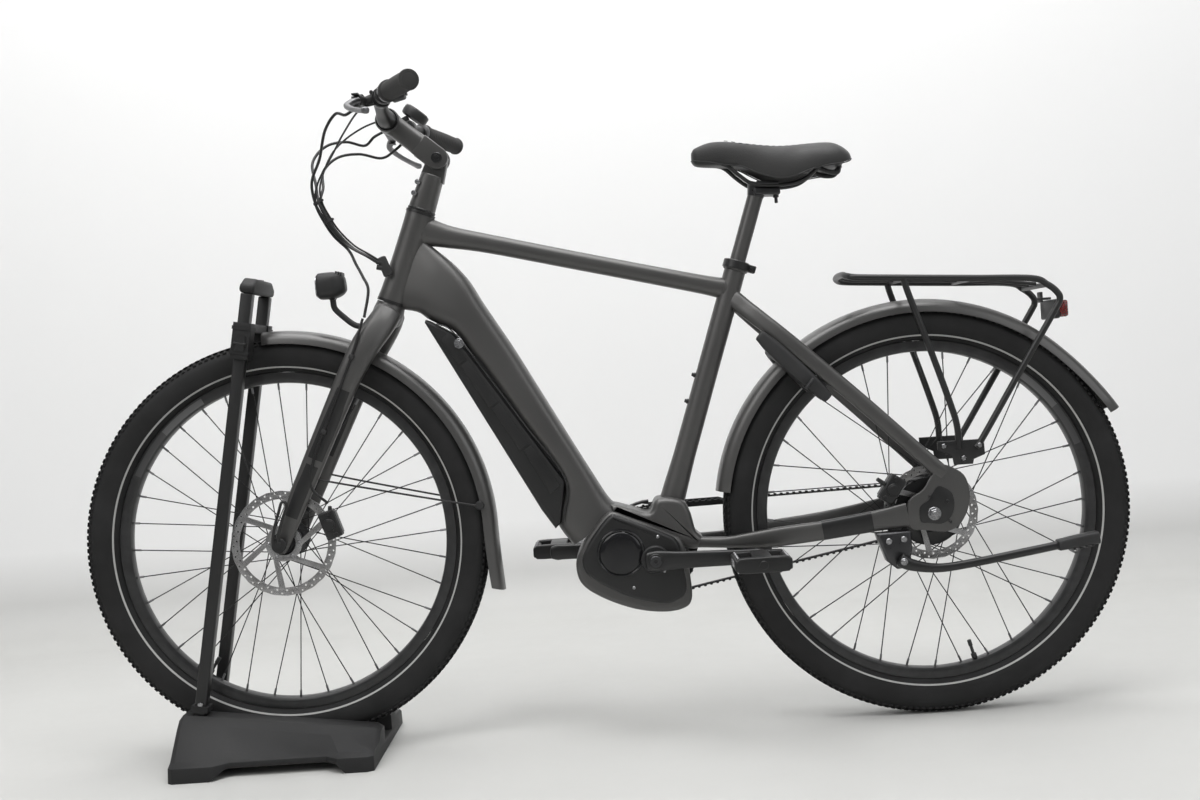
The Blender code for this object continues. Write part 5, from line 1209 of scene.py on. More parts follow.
# Drive ------------------------------------------------------------------------------
def make_drive(links):
    rings, path = ring_tree(), path_tree()
    half = 0.007
    for side, word in SIDES:
        def at(x, z, a):
            return (CRANK.x - side * x, side * CRANK_Y, CRANK.z + side * z * 0.018, half, a)
        arm = [tube([at(-0.014, 0, 0.015), at(0.0, 0, 0.017), at(0.018, 0.018, 0.0162),
                     at(0.045, 0.045, 0.0145), at(0.1, 0.1, 0.0135), at(0.14, 0.14, 0.013),
                     at(0.162, 0.165, 0.0132), at(0.172, 0.17, 0.0136), at(0.181, 0.17, 0.011)],
                    28, 3.2, cap=0.0035)]
        root = Vector((CRANK.x, side * CRANK_Y, CRANK.z))
        out = Y_AXIS * side
        if side < 0:
            arm.append(rod(root + out * 0.004, Vector((CRANK.x, 0.09, CRANK.z)), 0.0115))
        arm.append(rod(root + out * 0.0055, root + out * 0.0082, 0.0128))
        piece(f"crank_arm_{word}", arm, "black_satin", "cranks", [f"crank_{word}"])
        piece(f"crank_bolt_{word}", [turned([(0.0035, 0.008), (0.009, 0.008), (0.0098, 0.0088),
                                             (0.0098, 0.0096), (0.0088, 0.0104),
                                             (0.0035, 0.0104)],
                                            Vector((CRANK.x, 0, CRANK.z)) + out * CRANK_Y,
                                            out, 40)], "dark_alloy", "cranks")
        make_pedal(side, word)
    flange = FRONT_PITCH_R - 0.007
    web = [turned([(0.0118, BELT_Y - 0.0028), (0.026, BELT_Y - 0.003), (0.03, BELT_Y - 0.0016),
                   (flange - 0.01, BELT_Y - 0.0016), (flange - 0.006, BELT_Y - 0.0045),
                   (FRONT_PITCH_R - 0.0031, BELT_Y - 0.005),
                   (FRONT_PITCH_R - 0.0031, BELT_Y + 0.005),
                   (flange - 0.006, BELT_Y + 0.0045), (flange - 0.01, BELT_Y + 0.0016),
                   (0.03, BELT_Y + 0.0016), (0.026, BELT_Y + 0.003), (0.0118, BELT_Y + 0.0028)],
                  CRANK, count=92)]
    piece("front_sprocket_web", web, "black_satin", "cranks", ["front_sprocket"])
    low_x = FRONT_PITCH_R - 0.0036
    tooth = block((low_x + 0.0004, BELT_Y, 0), (0.0012, 0.0048, 0.0022), None, 0.0006, 2)
    settle(grown("front_sprocket_teeth", rings, None, {"Count": 46, "Centre": tuple(CRANK)},
                 "black_satin", [tooth]), "cranks", "black_paint")
    bolt = rod((0.042, BELT_Y - 0.004, 0), (0.042, BELT_Y + 0.004, 0), 0.0042, count=10)
    settle(grown("front_sprocket_bolts", rings, None, {"Count": 5, "Centre": tuple(CRANK)},
                 "steel", [bolt]), "cranks", "steel")
    top = REAR_PITCH_R - 0.0034
    cog = [turned([(0.0128, BELT_Y - 0.005), (top, BELT_Y - 0.005), (top, BELT_Y + 0.005),
                   (0.0128, BELT_Y + 0.005)], REAR, count=72)]
    piece("rear_sprocket_body", cog, "black_satin", "rear_sprocket", ["rear_sprocket"])
    tooth = block((top + 0.0003, BELT_Y, 0), (0.0009, 0.0048, 0.002), None, 0.0005, 2)
    settle(grown("rear_sprocket_teeth", rings, None, {"Count": 24, "Centre": tuple(REAR)},
                 "black_satin", [tooth]), "rear_sprocket", "black_paint")
    line = Vector((REAR.x - CRANK.x, 0, REAR.z - CRANK.z))
    base = math.degrees(math.atan2(line.z, line.x))
    lean = math.degrees(math.acos((FRONT_PITCH_R - REAR_PITCH_R) / line.length))
    loop = [polar(CRANK, FRONT_PITCH_R, base + lean + (360 - 2 * lean) * i / 72, BELT_Y)
            for i in range(73)]
    loop += [polar(REAR, REAR_PITCH_R, base - lean + 2 * lean * i / 48,
                   BELT_Y) for i in range(49)]
    rings_of = []
    for i, p in enumerate(loop):
        ahead = (loop[(i + 1) % len(loop)] - loop[i - 1]).normalized()
        out = ahead.cross(Y_AXIS)
        rings_of.append([p + Y_AXIS * y + out * r for y, r in (
            (-0.0053, -0.0006), (-0.0053, 0.0014), (-0.0046, 0.002), (0.0046, 0.002),
            (0.0053, 0.0014), (0.0053, -0.0006))])
    piece("belt_band", loft(rings_of, closed=True), "belt_rubber", "frame", ["belt"])
    tooth = block((0, 0, 0.0), (0.0024, 0.005, 0.0014), None, 0.0009, 2)
    inner = []
    for i, p in enumerate(loop):
        ahead = (loop[(i + 1) % len(loop)] - loop[i - 1]).normalized()
        inner.append(p - ahead.cross(Y_AXIS) * 0.0014)
    settle(grown("belt_teeth", path, edges_mesh("belt_path", [inner], closed=True),
                 {"Count": links}, "belt_rubber", [tooth]), "frame", "rubber")
    softened("belt_guard", "moulded", "frame", 0.0012, 3)
    arm = Vector((0.15, 0.05, 0.3835))
    piece("belt_guard_screws", [rod(arm + Vector((dx, 0.008, 0)), arm + Vector((dx, 0.0105, 0)),
                                    0.0036, count=8) for dx in (-0.06, 0.035)], "steel", "frame")


def make_pedal(side, word):
    low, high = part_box(f"pedal_{word}")
    tip = Vector(((low.x + high.x) / 2, 0, (low.z + high.z) / 2))
    near = 0.097
    outline = [(-0.046, -0.006), (-0.04, -0.012), (-0.025, -0.0128), (0.025, -0.0128),
               (0.04, -0.012), (0.046, -0.006), (0.046, 0.006), (0.04, 0.012),
               (0.025, 0.0128), (-0.025, 0.0128), (-0.04, 0.012), (-0.046, 0.006)]
    far = side * (near + 0.0915)
    cage = []
    for a, b in ((near, near + 0.016), (near + 0.0755, near + 0.0915)):
        cage.append(slab([(tip.x + x, tip.z + z) for x, z in outline],
                         *sorted((side * a, side * b)), 0.003))
    for x in (-0.04, 0.04):
        cage.append(block((tip.x + x, side * (near + 0.0458), tip.z), (0.0058, 0.045, 0.0092),
                          None, 0.0025))
    cage.append(rod((tip.x, side * 0.0775, tip.z), (tip.x, far + side * 0.002, tip.z), 0.0072))
    cage.append(rod((tip.x, side * (near + 0.01), tip.z), (tip.x, side * (near + 0.08), tip.z),
                    0.0118, 0.0105))
    for z in (-0.0095, 0.0095):
        cage.append(block((tip.x, side * (near + 0.0458), tip.z + z), (0.015, 0.04, 0.0032),
                          None, 0.0015))
    piece(f"pedal_cage_{word}", cage, "battery_skin", f"pedal_{word}", [f"pedal_{word}"])
    grips = []
    for x in (-0.04, 0.04):
        for i in range(6):
            for z in (-0.0098, 0.0098):
                y = side * (near + 0.012 + 0.0135 * i)
                grips.append(rod((tip.x + x, y, tip.z + z), (tip.x + x, y, tip.z + z * 1.32),
                                 0.0022, 0.0017, 10))
    piece(f"pedal_pins_{word}", grips, "steel", f"pedal_{word}")
    lens = [block((tip.x + x, side * (near + 0.046), tip.z), (0.0012, 0.02, 0.0048), None, 0.0008)
            for x in (-0.0455, 0.0455)]
    piece(f"pedal_reflectors_{word}", lens, "reflector", f"pedal_{word}")


# Seat -------------------------------------------------------------------------------
def make_seat():
    top = SEAT_TOP + SEAT_AXIS * SEAT_POST_OUT
    head = Vector((0.313, 0, 0.919))
    post = [rod(SEAT_TOP - SEAT_AXIS * SEAT_POST_IN, top, SEAT_POST_R, count=48)]
    piece("seat_post_tube", post, "frame_paint", "seat", ["seat_post"])
    clamp = [block(head + Vector((0, 0, -0.004)), (0.0225, 0.0205, 0.0062), about_y(3), 0.003),
             block(head + Vector((0.001, 0, 0.0092)), (0.0195, 0.0255, 0.0036), about_y(3),
                   0.002),
             tube([(*(top - SEAT_AXIS * 0.006), 0.0138, 0.0138),
                   (*(top + SEAT_AXIS * 0.01), 0.018, 0.018),
                   (*(top + SEAT_AXIS * 0.017), 0.019, 0.02)], 32, 2.4, per=4)]
    for dx in (-0.0165, 0.0165):
        clamp.append(rod(head + Vector((dx, 0, -0.024)), head + Vector((dx, 0, 0.014)), 0.0029,
                         count=12))
        clamp.append(rod(head + Vector((dx, 0, -0.0145)), head + Vector((dx, 0, -0.0085)), 0.005,
                         count=16))
    piece("seat_clamp_head", clamp, "dark_alloy", "seat")
    rails = []
    for side, _ in SIDES:
        y = side * 0.022
        rails.append(pipe([(0.23, y * 0.62, 0.97), (0.248, y * 0.9, 0.961),
                           (0.264, y, 0.946), (0.286, y, 0.929), (0.31, y, 0.9245),
                           (0.345, y, 0.9235), (0.372, y * 1.25, 0.928), (0.392, y * 1.6, 0.94),
                           (0.412, y * 1.9, 0.958)], 0.0035, 14))
    piece("saddle_rails", rails, "black_satin", "seat")
    rows = [  # place, half width, underside, edge line, top
        (0.1885, 0.008, 0.9735, 0.979, 0.99), (0.1925, 0.015, 0.969, 0.976, 0.996),
        (0.201, 0.0196, 0.966, 0.9735, 1.0), (0.22, 0.0224, 0.964, 0.9705, 1.0055),
        (0.245, 0.0244, 0.962, 0.964, 1.0055), (0.27, 0.027, 0.96, 0.96, 1.0005),
        (0.293, 0.0325, 0.9585, 0.948, 0.996), (0.315, 0.0425, 0.9575, 0.938, 0.992),
        (0.336, 0.0545, 0.957, 0.932, 0.989), (0.358, 0.0655, 0.957, 0.933, 0.988),
        (0.382, 0.0738, 0.957, 0.94, 0.988), (0.406, 0.0782, 0.957, 0.944, 0.988),
        (0.425, 0.0785, 0.957, 0.946, 0.986), (0.439, 0.074, 0.957, 0.948, 0.98),
        (0.449, 0.064, 0.959, 0.952, 0.972), (0.454, 0.048, 0.9605, 0.957, 0.964)]
    rows = through(rows, 4)
    rings, count = [], 64
    for x, half, under, edge, crown in rows:
        points = []
        for i in range(count):
            angle = 2 * math.pi * (i + 0.5) / count
            c, s = math.cos(angle), math.sin(angle)
            y = half * math.copysign(abs(c) ** 0.62, c)
            if s > 0:
                z = edge + (crown - edge) * abs(s) ** 0.78
                share = abs(y) / max(half, 1e-6)
                groove = max(0.0, 1 - (y / 0.0115) ** 2) if abs(y) < 0.0115 else 0.0
                length = max(0.0, min(1.0, (x - 0.235) / 0.04)) * max(0.0,
                                                                      min(1.0,
                                                                          (0.452 - x) / 0.03))
                z -= 0.0052 * groove ** 1.5 * length
                z += 0.0016 * math.sin(math.pi * min(1.0, share)) * length
            else:
                z = edge - (edge - under) * abs(s) ** 1.2
            points.append(Vector((x, y, z)))
        rings.append(points)
    cover = piece("saddle_cover", loft(rings), "leather", "seat", ["saddle"], angle=60)
    edge = []
    for side, _ in SIDES:
        edge.append(pipe([(x, side * (half * 0.985 + 0.0006), line - 0.0012)
                          for x, half, _, line, _ in rows[::4]], 0.0011, 8, 4))
    piece("saddle_edge_piping", edge, "seam", "seat")
    runs = []
    for side, _ in SIDES:
        line = [Vector((x, side * (0.015 + 0.4 * max(0, half - 0.028)),
                        edge_z + (crown - edge_z) * 0.985)) for x, half, _, edge_z,
                        crown in rows[16:56]]
        for a, b in zip(line[::2], line[1::2]):
            runs.append([a + Vector((0, 0, 0.0004)), b + Vector((0, 0, 0.0004))])
    settle(grown("saddle_stitches", wire_tree(), edges_mesh("stitch_lines", runs),
                 {"Radius": 0.0005, "Sides": 6}, "seam"), "seat", "saddle_cover")
    base = tube([(0.235, 0, 0.968, 0.015, 0.003), (0.27, 0, 0.964, 0.02, 0.004),
                 (0.33, 0, 0.956, 0.044, 0.0045), (0.4, 0, 0.9525, 0.064, 0.005),
                 (0.44, 0, 0.955, 0.054, 0.0045)], 40, 2.6, cap=0.004)
    hook = [pipe([(0.395, s * 0.03, 0.95), (0.416, s * 0.027, 0.94), (0.434, s * 0.018, 0.938),
                  (0.44, s * 0.006, 0.947)], 0.004, 10) for s in (-1, 1)]
    piece("saddle_base", [base] + hook, "moulded", "seat")


# Mudguards, rack, lock and kickstand ---------------------------------------------------
def make_mudguards():
    section = [(-0.0325, -0.0238), (-0.0313, -0.016), (-0.0285, -0.0098), (-0.0225, -0.0048),
               (-0.012, -0.0018), (0.0, -0.0008), (0.012, -0.0018), (0.0225, -0.0048),
               (0.0285, -0.0098), (0.0313, -0.016), (0.0325, -0.0238)]
    wall = section + [(y * 0.945, r - 0.002 * (1 - abs(y) / 0.0325 * 0.85))
                      for y, r in reversed(section)]
    for word, centre, first, last, flap, body in (
            ("rear", REAR, 24.7, 171.0, 0.012, "frame"),
            ("front", FRONT, -16.5, 93.0, 0.022, "steering")):
        rings = []
        for i in range(73):
            t = i / 72
            angle = math.radians(first + (last - first) * t)
            out = Vector((math.cos(angle), 0, math.sin(angle)))
            lifted = flap * max(0.0, (0.16 - t) / 0.16) ** 2
            ends = min(1.0, t / 0.012, (1 - t) / 0.012)
            wide = 0.9 + 0.1 * math.sqrt(max(0.0, ends))
            rings.append([centre + out * (GUARD_R + r + lifted) + Vector((0, y * wide, 0))
                          for y, r in wall])
        piece(f"{word}_mudguard_shell", loft(rings), "guard_paint", body,
              [f"{word}_mudguard"], angle=50)
    stays = []
    for side, _ in SIDES:
        start = Vector((-0.496, side * 0.06, 0.477))
        stays.append(pipe([start, (-0.486, side * 0.056, 0.476), (-0.42, side * 0.048, 0.459),
                           (-0.287, side * 0.0365, 0.4265), (-0.216, side * 0.0345, 0.4105),
                           (-0.207, side * 0.03, 0.408)], 0.0017, 12))
        stays.append(rod(start + Y_AXIS * side * -0.003, start + Y_AXIS * side * 0.006, 0.0042,
                         count=10))
    piece("front_guard_stays", stays, "black_satin", "steering")
    button = Vector((-0.214, 0, 0.411))
    piece("front_guard_stay_caps", [rod(button + Y_AXIS * s * 0.0325, button + Y_AXIS * s * 0.038,
                                        0.0082, 0.007) for s in (-1, 1)], "moulded", "steering")

def make_rack():
    radius = 0.0055
    y = 0.068

    def run_of(s):
        return [(0.629, s * y, 0.456), (0.641, s * y, 0.472), (0.703, s * y, 0.568),
                (0.772, s * y, 0.674), (0.7835, s * y, 0.695), (0.779, s * y, 0.708),
                (0.764, s * y, 0.721), (0.738, s * y, 0.733), (0.64, s * y, 0.74),
                (0.53, s * y, 0.748), (0.452, s * y * 0.98, 0.754),
                (0.434, s * y * 0.8, 0.758), (0.43, s * y * 0.4, 0.762)]
    bars = [pipe(run_of(-1) + list(reversed(run_of(1))), radius, 20, 8)]
    for side, _ in SIDES:
        w = side * y
        bars.append(pipe([(0.525, w, 0.747), (0.532, w, 0.72), (0.564, w, 0.62),
                          (0.59, w, 0.533), (0.599, w, 0.495), (0.6, w, 0.456)],
                         radius, 20, 6))
        low, high = sorted((side * 0.066, side * 0.07))
        bars.append(slab([(0.564, 0.47), (0.642, 0.47), (0.643, 0.444), (0.624, 0.437),
                          (0.622, 0.429), (0.59, 0.429), (0.588, 0.444), (0.564, 0.456)],
                         low, high, 0.0012))
    for x, z, r in ((0.53, 0.748, 0.0045), (0.64, 0.74, 0.0045), (0.764, 0.721, 0.0045)):
        bars.append(rod((x, -y, z), (x, y, z), r, count=20))
    piece("rack_tubes", bars, "black_satin", "frame", ["rear_rack"])
    deck = [pipe([(0.433, s * 0.02, 0.7605), (0.47, s * 0.02, 0.7525), (0.64, s * 0.02, 0.741),
                  (0.76, s * 0.02, 0.725)], 0.0032, 12) for s in (-1, 1)]
    piece("rack_deck_rods", deck, "black_satin", "frame")
    bolts = []
    for side, _ in SIDES:
        for x, z in ((0.606, 0.44), (0.574, 0.462), (0.634, 0.46)):
            spot = Vector((x, side * 0.07, z))
            bolts.append(rod(spot, spot + Y_AXIS * side * 0.004, 0.0044, count=6))
    piece("rack_bolts", bolts, "steel", "frame")
    piece("rear_light_housing", [
        block((0.788, 0, 0.68), (0.004, 0.0408, 0.0165), None, 0.0028),
        block((0.779, 0, 0.699), (0.009, 0.01, 0.002), None, 0.0008),
        block((0.7722, 0, 0.702), (0.0022, 0.009, 0.009), None, 0.0008)], "moulded", "frame")
    piece("rear_light_lens", block((0.799, 0, 0.68), (0.0085, 0.0385, 0.0145), None, 0.0045, 4),
          "red_lens", "frame", ["rear_light"])


def make_lock():
    radial = Vector((-math.cos(math.radians(50)), 0, math.sin(math.radians(50))))
    around = radial.cross(Y_AXIS).normalized()
    centre = REAR + radial * 0.325
    half_y = GUARD_HALF + 0.0125
    rings = []
    for i in range(57):
        angle = math.radians(-35 + 250 * i / 56)
        out = Y_AXIS * math.cos(angle) * half_y + radial * math.sin(angle) * 0.057
        end = min(1.0, i / 3, (56 - i) / 3)
        puff = 0.8 + 0.2 * end
        rings.append(ring(centre + out, out.normalized(), around, 0.0084 * puff, 0.0124 * puff,
                          24, 3.6))
    shapes = [loft(rings)]
    case, way = Vector((0.335, -0.0495, 0.612)), Vector((0.69, 0.0, -0.72))
    shapes.append(tube([(*(case + way * t), wide, high) for t, wide, high in (
        (-0.078, 0.008, 0.0095), (-0.05, 0.0104, 0.0132), (0.0, 0.0106, 0.0142),
        (0.05, 0.0104, 0.0132), (0.078, 0.008, 0.0095))], 28, 3.4, cap=0.003))
    piece("lock_body", shapes, "moulded", "frame", ["frame_lock"])
    near = centre - Y_AXIS * (half_y + 0.008) + radial * -0.004
    barrel = near - radial * 0.018
    piece("lock_barrel", [rod(barrel, barrel - Y_AXIS * 0.0045, 0.0098),
                          rod(barrel - Y_AXIS * 0.004, barrel - Y_AXIS * 0.0056, 0.007)],
          "black_gloss", "frame")
    head = barrel - Y_AXIS * 0.005
    key = [block(head - Y_AXIS * 0.003, (0.0052, 0.0032, 0.0018), about_y(-50), 0.0006),
           block(head - Y_AXIS * 0.0115, (0.011, 0.0062, 0.0024), about_y(-50), 0.0022)]
    piece("lock_key", key, "moulded", "frame")
    slider = centre - Y_AXIS * (half_y + 0.0092) + radial * 0.02
    piece("lock_slider", [block(slider, (0.007, 0.002, 0.011), about_y(-50), 0.0015)],
          "black_gloss", "frame")


def make_kickstand():
    softened("kickstand_mount", "dark_alloy", "frame", 0.002, 3)
    y = -0.095
    leg = [tube([(0.486, -0.0925, 0.279, 0.008, 0.012), (0.503, -0.094, 0.27, 0.0078, 0.01),
                 (0.545, y, 0.262, 0.007, 0.0075), (0.6, y, 0.266, 0.007, 0.007),
                 (0.7, y, 0.28, 0.007, 0.007), (0.752, y, 0.2875, 0.0068, 0.0068)],
                28, 2.5, cap=0.003)]
    piece("kickstand_bar", leg, "black_satin", "kickstand", ["kickstand_leg"])
    foot = [tube([(0.748, y, 0.287, 0.0112, 0.0092), (0.78, y, 0.2915, 0.0115, 0.0104),
                  (0.813, y, 0.296, 0.0113, 0.0108)], 28, 4, cap=0.003)]
    for i in range(4):
        x = 0.77 + 0.01 * i
        foot.append(tube([(x, y, 0.279 + 0.0015 * i, 0.0105, 0.0022),
                          (x + 0.004, y, 0.2796 + 0.0015 * i, 0.0105, 0.0022)], 12, 3, per=1))
    piece("kickstand_foot", foot, "moulded", "kickstand")
    bolt = Vector((0.49, -0.1005, 0.277))
    piece("kickstand_pivot_bolt", [rod(bolt + Y_AXIS * 0.004, bolt - Y_AXIS * 0.003, 0.006),
                                   rod(bolt - Y_AXIS * 0.0024, bolt - Y_AXIS * 0.0042, 0.0036,
                                       count=6)], "steel", "kickstand")
    bolts = [Vector((x, -0.0835, z)) for x, z in ((0.47, 0.31), (0.495, 0.312))]
    piece("kickstand_mount_bolts", [rod(b, b - Y_AXIS * 0.0036, 0.0052, count=20) for b in bolts],
          "steel", "frame")


# Steering and bars --------------------------------------------------------------------
def make_stem():
    rows = ((HEAD_HALF + 0.0006, 0.0235, 0.0235, 2.0), (HEAD_HALF + 0.01, 0.0232, 0.024, 2.1),
            (HEAD_HALF + 0.03, 0.0215, 0.0242, 2.5), (HEAD_HALF + 0.055, 0.02, 0.0245, 2.7),
            (HEAD_HALF + 0.064, 0.0185, 0.0235, 2.7), (HEAD_HALF + 0.066, 0.0165, 0.0215, 2.7))
    base = [loft([ring(head_point(h), HEAD_NORMAL, Y_AXIS, a, b, 44, p) for h, a, b, p in rows])]
    foot = head_point(HEAD_HALF + 0.06)
    px, pz = STEM_PIVOT.x, STEM_PIVOT.z
    ear = [(foot.x - 0.0215, foot.z), (px - 0.018, pz + 0.002), (px - 0.014, pz + 0.011),
           (px - 0.006, pz + 0.0165), (px + 0.005, pz + 0.0165), (px + 0.013, pz + 0.011),
           (px + 0.018, pz), (foot.x + 0.02, foot.z - 0.01)]
    base.append(slab(ear, -0.0103, 0.0103, 0.002))
    piece("stem_base_shell", base, "frame_paint", "steering", ["stem_base"])
    trims = [turned([(0.0205, HEAD_HALF + 0.0006), (0.0243, HEAD_HALF + 0.0008),
                     (0.0246, HEAD_HALF + 0.004), (0.0238, HEAD_HALF + 0.0052),
                     (0.0205, HEAD_HALF + 0.0052)], HEAD_MID, HEAD_AXIS, 56)]
    piece("headset_top_ring", trims, "black_satin", "steering")
    bolts = []
    for along in (0.026, 0.046):
        spot = head_point(HEAD_HALF + along, -0.018)
        bolts += [rod(spot - Y_AXIS * 0.0262, spot - Y_AXIS * 0.0215, 0.0046),
                  rod(spot - Y_AXIS * 0.0268, spot - Y_AXIS * 0.0255, 0.0024, count=6)]
    piece("stem_pinch_bolts", bolts, "steel", "steering")
    ahead = (BAR_CENTRE - STEM_PIVOT).normalized()

    def on(along, wide, high):
        return (*(STEM_PIVOT + ahead * along), wide, high)
    length = (BAR_CENTRE - STEM_PIVOT).length
    cheeks = []
    for side in (-1, 1):
        outline = []
        for i in range(17):
            angle = math.radians(90 + 180 * i / 16)
            a, b = math.cos(angle) * 0.019, math.sin(angle) * 0.0195
            p = STEM_PIVOT + ahead * a + ahead.cross(Y_AXIS) * b
            outline.append((p.x, p.z))
        for a, b in ((0.04, -0.0195), (0.04, 0.0195)):
            p = STEM_PIVOT + ahead * a + ahead.cross(Y_AXIS) * b
            outline.append((p.x, p.z))
        cheeks.append(slab(outline, *sorted((side * 0.0112, side * 0.02)), 0.0022))
    arm = cheeks + [tube([on(0.034, 0.02, 0.0194), on(0.05, 0.0198, 0.0186),
                          on(0.075, 0.0192, 0.0182), on(length - 0.01, 0.02, 0.0185),
                          on(length - 0.006, 0.0202, 0.0186)], 36, 3.4)]
    arm.append(turned([(0.0162, -0.0215), (0.0195, -0.022), (0.0206, -0.0208), (0.0206, 0.0208),
                       (0.0195, 0.022), (0.0162, 0.0215)], BAR_CENTRE, Y_AXIS, 56))
    piece("stem_arm_shell", arm, "frame_paint", "bars", ["stem_arm"])
    piece("bar_clamp_covers", [
        turned([(0.0164, s * -0.0002), (0.0192, s * -0.0002), (0.0186, s * 0.0016),
                (0.0164, s * 0.0016)], BAR_CENTRE + Y_AXIS * s * 0.022, Y_AXIS, 56)
        for s in (-1, 1)], "black_gloss", "bars")
    pivots = [rod(STEM_PIVOT + Y_AXIS * s * 0.0196, STEM_PIVOT + Y_AXIS * s * 0.0226, 0.0092)
              for s in (-1, 1)]
    pivots += [rod(STEM_PIVOT + Y_AXIS * s * 0.0222, STEM_PIVOT + Y_AXIS * s * 0.0232, 0.005,
                   count=6) for s in (-1, 1)]
    piece("stem_pivot_bolts", pivots, "black_gloss", "bars")


def bar_run(side):
    c = BAR_CENTRE
    rows = [(0, 0, 0, BAR_CLAMP_R), (0, 0.03, 0, BAR_CLAMP_R), (0, 0.046, 0.001, 0.0142),
            (0.001, 0.07, 0.005, 0.0113), (0.005, 0.11, 0.01, BAR_R),
            (0.014, 0.15, 0.013, BAR_R), (0.03, 0.19, 0.012, BAR_R),
            (0.055, 0.247, 0.008, BAR_R), (0.079, 0.304, 0.003, BAR_R)]
    return [(c.x + x, side * y, c.z + z, r) for x, y, z, r in rows]


def make_bars(ribs):
    left, right = bar_run(-1), bar_run(1)
    rows = [(*p, p[3]) for p in reversed(left)] + [(*p, p[3]) for p in right[1:]]
    piece("handlebar_tube", tube(rows, 28, 2.0, Vector((1, 0, 0)), 5), "black_satin", "bars",
          ["handlebar"], angle=60)
    for side, word in SIDES:
        inner = BAR_CENTRE + Vector((0.03, side * 0.19, 0.012))
        outer = BAR_CENTRE + Vector((0.079, side * 0.304, 0.003))
        along = (outer - inner).normalized()
        start = outer - along * 0.119
        profile = [(0.0116, 0.0), (0.0172, 0.0), (0.0176, 0.001), (0.0176, 0.007),
                   (0.0152, 0.0085), (0.0146, 0.011)]
        length = 0.1185
        for i in range(ribs):
            h = 0.013 + (length - 0.013) * i / ribs
            step = (length - 0.013) / ribs
            swell = 0.0149 + 0.0007 * math.sin(math.pi * i / ribs)
            profile += [(swell - 0.0006, h), (swell, h + step * 0.25), (swell, h + step * 0.7),
                        (swell - 0.0006, h + step * 0.95)]
        profile += [(0.0156, length + 0.0008), (0.0163, length + 0.003), (0.0158, length + 0.006),
                    (0.012, length + 0.0066), (0.006, length + 0.0068), (0.0116, length - 0.01)]
        grip = turned(profile[:-2] + [(0.0116, length + 0.006)], start, along, 56)
        cap = turned([(0.0004, length + 0.001), (0.0118, length + 0.001),
                      (0.0118, length + 0.0062),
                      (0.008, length + 0.007), (0.0004, length + 0.007)], start, along, 40)
        piece(f"grip_sleeve_{word}", [grip, cap], "grip", "bars", [f"grip_{word}"],
              slot="grip_rubber")
        collar = turned([(0.0116, -0.0095), (0.016, -0.0095), (0.0166, -0.0085), (0.0166, -0.001),
                         (0.016, -0.0002), (0.0116, -0.0002)], start, along, 40)
        screw = start - along * 0.0048 + Vector((0, 0, -0.016))
        piece(f"grip_clamp_{word}", [collar, rod(screw, screw - Vector((0, 0, 0.0026)), 0.003,
                                                 count=8)], "alloy", "bars")
        make_brake_lever(side, word)
    remote = BAR_CENTRE + Vector((0.0205, -0.164, 0.015))
    piece("assist_remote", [
        turned([(0.0118, -0.006), (0.015, -0.006), (0.015, 0.006), (0.0118, 0.006)],
               BAR_CENTRE + Vector((0.0195, -0.164, 0.0128)), Vector((0.3, -1, 0.0)), 36),
        block(remote + Vector((0.019, 0.004, 0.0045)), (0.012, 0.0135, 0.0165), about_y(-14),
              0.0045, 4)],
        "moulded", "bars")
    face = remote + Vector((0.03, 0.004, 0.0075))
    keys = [block(face + Vector((0.0024 - 0.25 * dz, 0, dz)), (0.0018, 0.0062, 0.0034),
                  about_y(-14),
                  0.0013) for dz in (-0.0085, 0.0, 0.0085)]
    piece("assist_remote_keys", keys, "glass_black", "bars")
    shifter = BAR_CENTRE + Vector((0.011, 0.164, 0.006))
    piece("gear_shifter", [block(shifter, (0.016, 0.011, 0.013), about_y(12), 0.004, 4),
                           tube([(shifter.x + 0.004, 0.168, shifter.z - 0.01, 0.004, 0.003),
                                 (shifter.x + 0.02, 0.196, shifter.z - 0.021, 0.006, 0.003)],
                                20, 3, Vector((0, 0, 1)), 3, 0.002)], "black_satin", "bars")
    screen = BAR_CENTRE + Vector((0.036, 0.046, 0.012))
    facing = Vector((0.011, 0, 0.014)).normalized()
    piece("display_body", [
        turned([(0.0004, -0.002), (0.0195, -0.002), (0.0228, -0.0004), (0.0238, 0.005),
                (0.0238, 0.0125), (0.0226, 0.015), (0.0205, 0.0156), (0.0004, 0.0148)],
               screen, facing, 64),
        turned([(0.0162, -0.0062), (0.0192, -0.0062), (0.0196, 0.0), (0.0192, 0.0062),
                (0.0162, 0.0062)], BAR_CENTRE + Vector((0, 0.036, 0.0003)), Y_AXIS, 40),
        block(BAR_CENTRE + Vector((0.0205, 0.0385, 0.0085)), (0.0095, 0.0055, 0.0045),
              about_y(-25),
              0.0015)],
        "moulded", "bars", ["display"])
    piece("display_screen", [turned([(0.0004, 0.015), (0.019, 0.0152), (0.02, 0.016),
                                     (0.019, 0.0168), (0.0004, 0.0172)], screen, facing, 64)],
          "glass_black", "bars")


